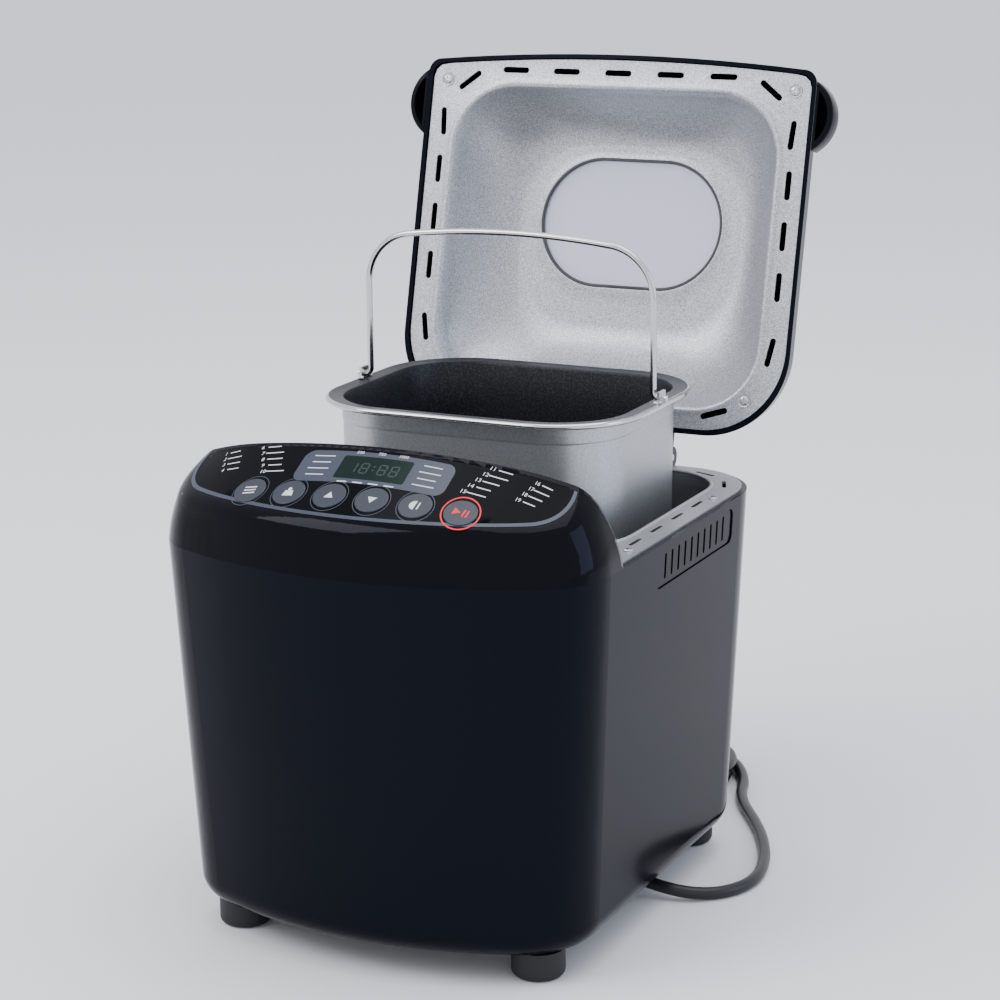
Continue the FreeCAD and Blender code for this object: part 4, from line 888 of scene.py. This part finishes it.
def patchOnPanel(name, ring, centre, low, high, steps=7):
    rings = []
    for k in range(steps, 0, -1):
        share = k / steps
        rings.append([onPanel(centre[0] + (x - centre[0]) * share, centre[1] + (y - centre[1]) * share, high)
                      for x, y in ring])
    under = [onPanel(x, y, low) for x, y in ring]
    return loft(name, [under] + rings)


def flatIcon(outline, thick=0.00012):
    return loft("icon", [[(x, y, z) for x, y in outline] for z in (0.0, thick)])


def circleOutline(x, y, radius, count=24):
    return arcPoints(x, y, radius, 0, 360, count)


def barOutline(x, y, long, wide):
    return [(x - long / 2, y - wide / 2), (x + long / 2, y - wide / 2), (x + long / 2, y + wide / 2),
            (x - long / 2, y + wide / 2)]


def numberMesh(text, size):
    curve = bpy.data.curves.new("mark", "FONT")
    curve.body = text
    curve.size = size
    curve.extrude = 0.00004
    curve.align_x, curve.align_y = "CENTER", "CENTER"
    curve.resolution_u = 2
    holder = bpy.data.objects.new("mark", curve)
    bpy.context.collection.objects.link(holder)
    mesh = bpy.data.meshes.new_from_object(holder.evaluated_get(bpy.context.evaluated_depsgraph_get()))
    bpy.data.objects.remove(holder)
    bpy.data.curves.remove(curve)
    return mesh


labels = {"numberSize": 0.0046, "barHeight": 0.0007, "plateHalfX": 0.0435, "plateHalfY": 0.0105,
          "plateCorner": 0.0055, "plateX": 0.003, "plateY": -0.1675, "lcdHalfX": 0.020,
          "lcdHalfY": 0.00745, "ringRadius": 0.0098, "ringWidth": 0.0004, "startRadius": 0.0100,
          "startWidth": 0.0008, "border": 0.0021, "borderInset": 0.0107}


def keyPlaces():
    return [(j["child"], Vector(j["pos_m"])) for j in frame["joints"] if j["name"].startswith("press_")]


def makePanelPrint(size):
    low, high = panel["print"] * 0.2, panel["print"] * 1.6
    inset = size["borderInset"]
    ring = bowedRing(body["half"] - inset, body["front"] + inset, body["rear"], body["bow"] - inset,
                     body["frontCorner"] - inset, 0.03, 0, 16, 40, 60)
    flat = [(p[0], p[1]) for p in ring if p[1] < -0.1435]
    start = max(range(len(flat)), key=lambda i: math.dist(flat[i], flat[i - 1]))
    path = flat[start:] + flat[:start]
    parts = [ribbonOnPanel("border", path, size["border"], low, high)]
    plateRing = flatten(roundedRing(size["plateX"], size["plateY"], size["plateHalfX"], size["plateHalfY"],
                                    size["plateCorner"], 0, 8, 8))
    parts.append(patchOnPanel("plate", plateRing, (size["plateX"], size["plateY"]), low, high))
    for name, place in keyPlaces():
        if name != "key_start":
            parts.append(ribbonOnPanel("ring", circleOutline(place.x, place.y, size["ringRadius"], 48),
                                       size["ringWidth"], low, high, True))
    border = joinMeshes("panelBorder", parts)
    drawIn(border, shoulder)
    addPiece("panelBorder", border, printGrey, "housing", (), 60)
    place = next(p for n, p in keyPlaces() if n == "key_start")
    mesh = ribbonOnPanel("startRing", circleOutline(place.x, place.y, size["startRadius"], 56),
                         size["startWidth"], low, high * 1.5, True)
    addPiece("startRing", mesh, printRed, "housing", (), 60)


def makePanelMarks(size):
    marks = []
    lift = panel["print"] * 1.8

    def bar(x, y, long, wide=size["barHeight"]):
        mesh = flatIcon(barOutline(0, 0, long, wide), panel["ink"])
        mesh.transform(panelFrame(x, y, lift))
        marks.append(mesh)

    def number(text, x, y, tall):
        mesh = numberMesh(text, tall)
        mesh.transform(panelFrame(x, y, lift))
        marks.append(mesh)

    rows = [(-0.1535 - 0.0044 * i, i) for i in range(5)]
    for column, (x, first) in enumerate(((-0.0960, 1), (-0.0700, 6), (0.0640, 11), (0.0910, 16))):
        for y, i in rows:
            if first + i > 19:
                continue
            if column == 0 and i > 3:
                continue
            shift = (0.004 * i if column < 2 else -0.0035 * i) * 0.6
            number(str(first + i), x + shift, y, size["numberSize"] * 0.82)
            bar(x + shift + 0.0072, y, 0.0080 + 0.0014 * ((first * 3 + i * 2) % 3))
    for i in range(4):
        bar(size["plateX"] - 0.0315, size["plateY"] + 0.0066 - 0.0042 * i, 0.0120 - 0.0014 * (i % 2))
        bar(size["plateX"] + 0.0310, size["plateY"] + 0.0066 - 0.0042 * i, 0.0105 + 0.0018 * (i % 2))
        bar(size["plateX"] - 0.0135 + 0.0090 * i, size["plateY"] - 0.0098, 0.0056, 0.0008)
    for i, text in enumerate(("500", "750", "1000")):
        number(text, size["plateX"] - 0.0125 + 0.0125 * i, size["plateY"] + 0.0099, size["numberSize"] * 0.62)
    printed = joinMeshes("panelMarks", marks)
    drawIn(printed, shoulder)
    addPiece("panelMarks", printed, printWhite, "housing", (), 60)


def makeDisplay(size):
    segments = {"a": (0, 1, 1), "g": (0, 0, 1), "d": (0, -1, 1), "f": (-0.5, 0.5, 0), "b": (0.5, 0.5, 0),
                "e": (-0.5, -0.5, 0), "c": (0.5, -0.5, 0)}
    tall, wide, stroke = 0.0036, 0.0040, 0.00075
    ghosts = []
    for digit, x in enumerate((-0.0120, -0.0052, 0.0052, 0.0120)):
        for name, (sx, sy, flatOne) in segments.items():
            if digit == 0 and name not in "bc":
                continue
            across, upright = (wide * 0.82, stroke) if flatOne else (stroke, tall * 0.84)
            outline = barOutline(sx * wide, sy * tall, across, upright)
            mesh = flatIcon(outline, panel["ink"])
            mesh.transform(panelFrame(size["plateX"] + x, size["plateY"] - 0.0004, 0.00033))
            ghosts.append(mesh)
    for y in (-0.0014, 0.0014):
        mesh = flatIcon(circleOutline(0, y, 0.00055, 12), panel["ink"])
        mesh.transform(panelFrame(size["plateX"], size["plateY"], 0.00033))
        ghosts.append(mesh)
    faceRing = flatten(roundedRing(size["plateX"], size["plateY"], size["lcdHalfX"], size["lcdHalfY"],
                                   0.0012, 0, 6, 4))
    face = patchOnPanel("displayFace", faceRing, (size["plateX"], size["plateY"]), 0.00002, 0.00032)
    addPiece("displayFace", face, displayDark, "housing", ("lcd_lens",), 60)
    addPiece("displaySegments", joinMeshes("displaySegments", ghosts), displayGhost, "housing", (),
             60)


def keyIcon(name):
    if name == "key_menu":
        return [barOutline(0, dy, 0.0070, 0.0009) for dy in (-0.0022, 0, 0.0022)]
    if name == "key_weight":
        return [[(-0.0030, -0.0028), (0.0030, -0.0028), (0.0022, 0.0012), (-0.0022, 0.0012)],
                circleOutline(0, 0.0023, 0.0011)]
    if name == "key_up":
        return [[(-0.0026, -0.0018), (0.0026, -0.0018), (0, 0.0026)]]
    if name == "key_down":
        return [[(0.0026, 0.0018), (-0.0026, 0.0018), (0, -0.0026)]]
    if name == "key_colour":
        return [arcPoints(0, 0, 0.0032, 90, 277, 20), barOutline(0.0018, 0, 0.0008, 0.0050)]
    return [[(-0.0040, -0.0026), (-0.0040, 0.0026), (0.0002, 0)], barOutline(0.0018, 0, 0.0010, 0.0050),
            barOutline(0.0038, 0, 0.0010, 0.0050)]


def makeKeyIcons():
    for name, place in keyPlaces():
        parts = []
        for outline in keyIcon(name):
            mesh = flatIcon(outline, 0.00010)
            mesh.transform(panelFrame(place.x, place.y, 0.00071))
            parts.append(mesh)
        finish = printRed if name == "key_start" else printWhite
        addPiece("icon_" + name[4:], joinMeshes("icon_" + name[4:], parts), finish, name, (),
                 60)


makePanelPrint(labels)
makePanelMarks(labels)
makeDisplay(labels)
makeKeyIcons()
print("panel printed")


# mains plug with a ribbed grip, the tie and the tapered relief
plug = {"radius": 0.0125, "centreX": -0.0305, "entry": 0.1725, "long": 0.034, "pin": 0.0020, "pinLong": 0.019,
        "spread": 0.0095, "rise": 0.003}


def makePlug(size):
    r = size["radius"]
    profile = [(0.0040, -0.010), (0.0052, -0.0095), (0.0056, -0.002), (0.0085, 0.0015), (0.0104, 0.0045)]
    ridge, groove = 0.0112, 0.0104
    for k in range(5):
        base = 0.006 + 0.0030 * k
        profile += [(ridge, base), (groove, base + 0.0012), (groove, base + 0.0018), (ridge, base + 0.0030)]
    long = size["long"]
    profile += [(r - 0.0006, 0.0225), (r, 0.0245), (r, long - 0.0012), (r - 0.0010, long), (0.002, long)]
    place = Matrix.Translation((size["centreX"], size["entry"], r))
    turn = place @ Matrix.Rotation(math.radians(90), 4, "X")
    mesh = lathe("plugBody", profile, (0, 0, 0), 40)
    mesh.transform(turn)
    shell = addPiece("plugBody", mesh, leadBlack, "housing", ("mains_plug",), 35)
    pins = []
    for dx, dz in ((-size["spread"], 0), (0, size["rise"]), (size["spread"], 0)):
        pin = lathe("pin", [(size["pin"], 0), (size["pin"], 0.0165), (size["pin"] * 0.8, 0.0182), (0.0006,
                                                                                                   size["pinLong"])],
                    (0, 0, 0), 20)
        pin.transform(turn @ Matrix.Translation((dx, dz, size["long"])))
        pins.append(pin)
    prongs = addPiece("plugPins", joinMeshes("plugPins", pins), zinc, "housing", (), 35)
    return shell, prongs


def makeTie():
    low, high = (Vector(c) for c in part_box("cord_tie"))
    x = (low.x + high.x) / 2
    cy, cz = (low.y + high.y) / 2, (low.z + high.z) / 2
    halfY, halfZ = (high.y - low.y) / 2, (high.z - low.z) / 2
    rings = []
    for sign, inset in ((-1, 0.0), (1, 0.0), (1, 0.0009), (-1, 0.0009)):
        ring = roundedRing(0, 0, halfY - inset, halfZ - inset, 0.005 - inset, 0, 8, 3)
        rings.append([(x + sign * 0.0035, cy + p[0], cz + p[1]) for p in ring])
    mesh = loft("leadTie", rings, closed=True)
    return addPiece("leadTie", mesh, blackPlastic, "housing", ("cord_tie",), 40)


def makeRelief():
    low, high = (Vector(c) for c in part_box("strain_relief"))
    y, z = -0.0335, 0.009
    profile = []
    long = 0.024
    for k in range(6):
        base = long * k / 6
        radius = 0.0064 - 0.0019 * k / 6
        profile += [(radius, base), (radius, base + 0.0022), (radius - 0.0011, base + 0.0026),
                    (radius - 0.0011, base + 0.0037)]
    profile += [(0.0042, long), (0.0036, long + 0.0002)]
    mesh = lathe("strainRelief", [(0.002, 0.0)] + profile, (0, 0, 0), 32)
    mesh.transform(Matrix.Translation((high.x - long, y, z)) @ Matrix.Rotation(math.radians(90), 4, "Y"))
    block = loft("reliefBlock", [roundedRing(low.x + 0.007, y, 0.0075, 0.008, 0.0025, h, 6, 3)
                                 for h in (low.z, high.z)])
    return addPiece("strainRelief", joinMeshes("strainRelief", [mesh, block]), leadBlack, "housing",
                    ("strain_relief",), 35)


plugBody, plugPins = makePlug(plug)
leadTie = makeTie()
strainRelief = makeRelief()
print("plug, tie and relief made")


# floor and light
def makeStage():
    floorFinish = newMaterial("paleFloor", (0.86, 0.86, 0.87), 0.75, specular=0.2)
    mesh = meshFrom("floor", [(-25, -25, 0), (25, -25, 0), (25, 25, 0), (-25, 25, 0)], [(0, 1, 2, 3)])
    mesh.materials.append(floorFinish)
    floor = bpy.data.objects.new("floor", mesh)
    bpy.context.collection.objects.link(floor)
    world = bpy.data.worlds.new("studio")
    world.use_nodes = True
    world.node_tree.nodes["Background"].inputs["Color"].default_value = (0.90, 0.93, 1.0, 1.0)
    world.node_tree.nodes["Background"].inputs["Strength"].default_value = 1.3
    bpy.context.scene.world = world


def softbox(name, place, aim, width, height, power, colour=(1.0, 1.0, 1.0)):
    lamp = bpy.data.lights.new(name, "AREA")
    lamp.shape = "RECTANGLE"
    lamp.size, lamp.size_y = width, height
    lamp.energy = power
    lamp.color = colour
    made = bpy.data.objects.new(name, lamp)
    made.matrix_world = Matrix.Translation(Vector(place)) @ (
        (Vector(place) - Vector(aim)).to_track_quat("Z", "Y").to_matrix().to_4x4())
    bpy.context.collection.objects.link(made)


makeStage()
softbox("keyBox", (-1.3, -1.5, 2.0), (0, 0, 0.25), 1.4, 1.4, 34)
softbox("topBox", (0.2, 0.2, 2.3), (0, 0, 0.2), 2.0, 1.6, 26)
softbox("sideBox", (2.3, 0.3, 0.9), (0.1, 0, 0.15), 0.9, 1.6, 12, (0.50, 0.62, 1.0))
print("stage lit")
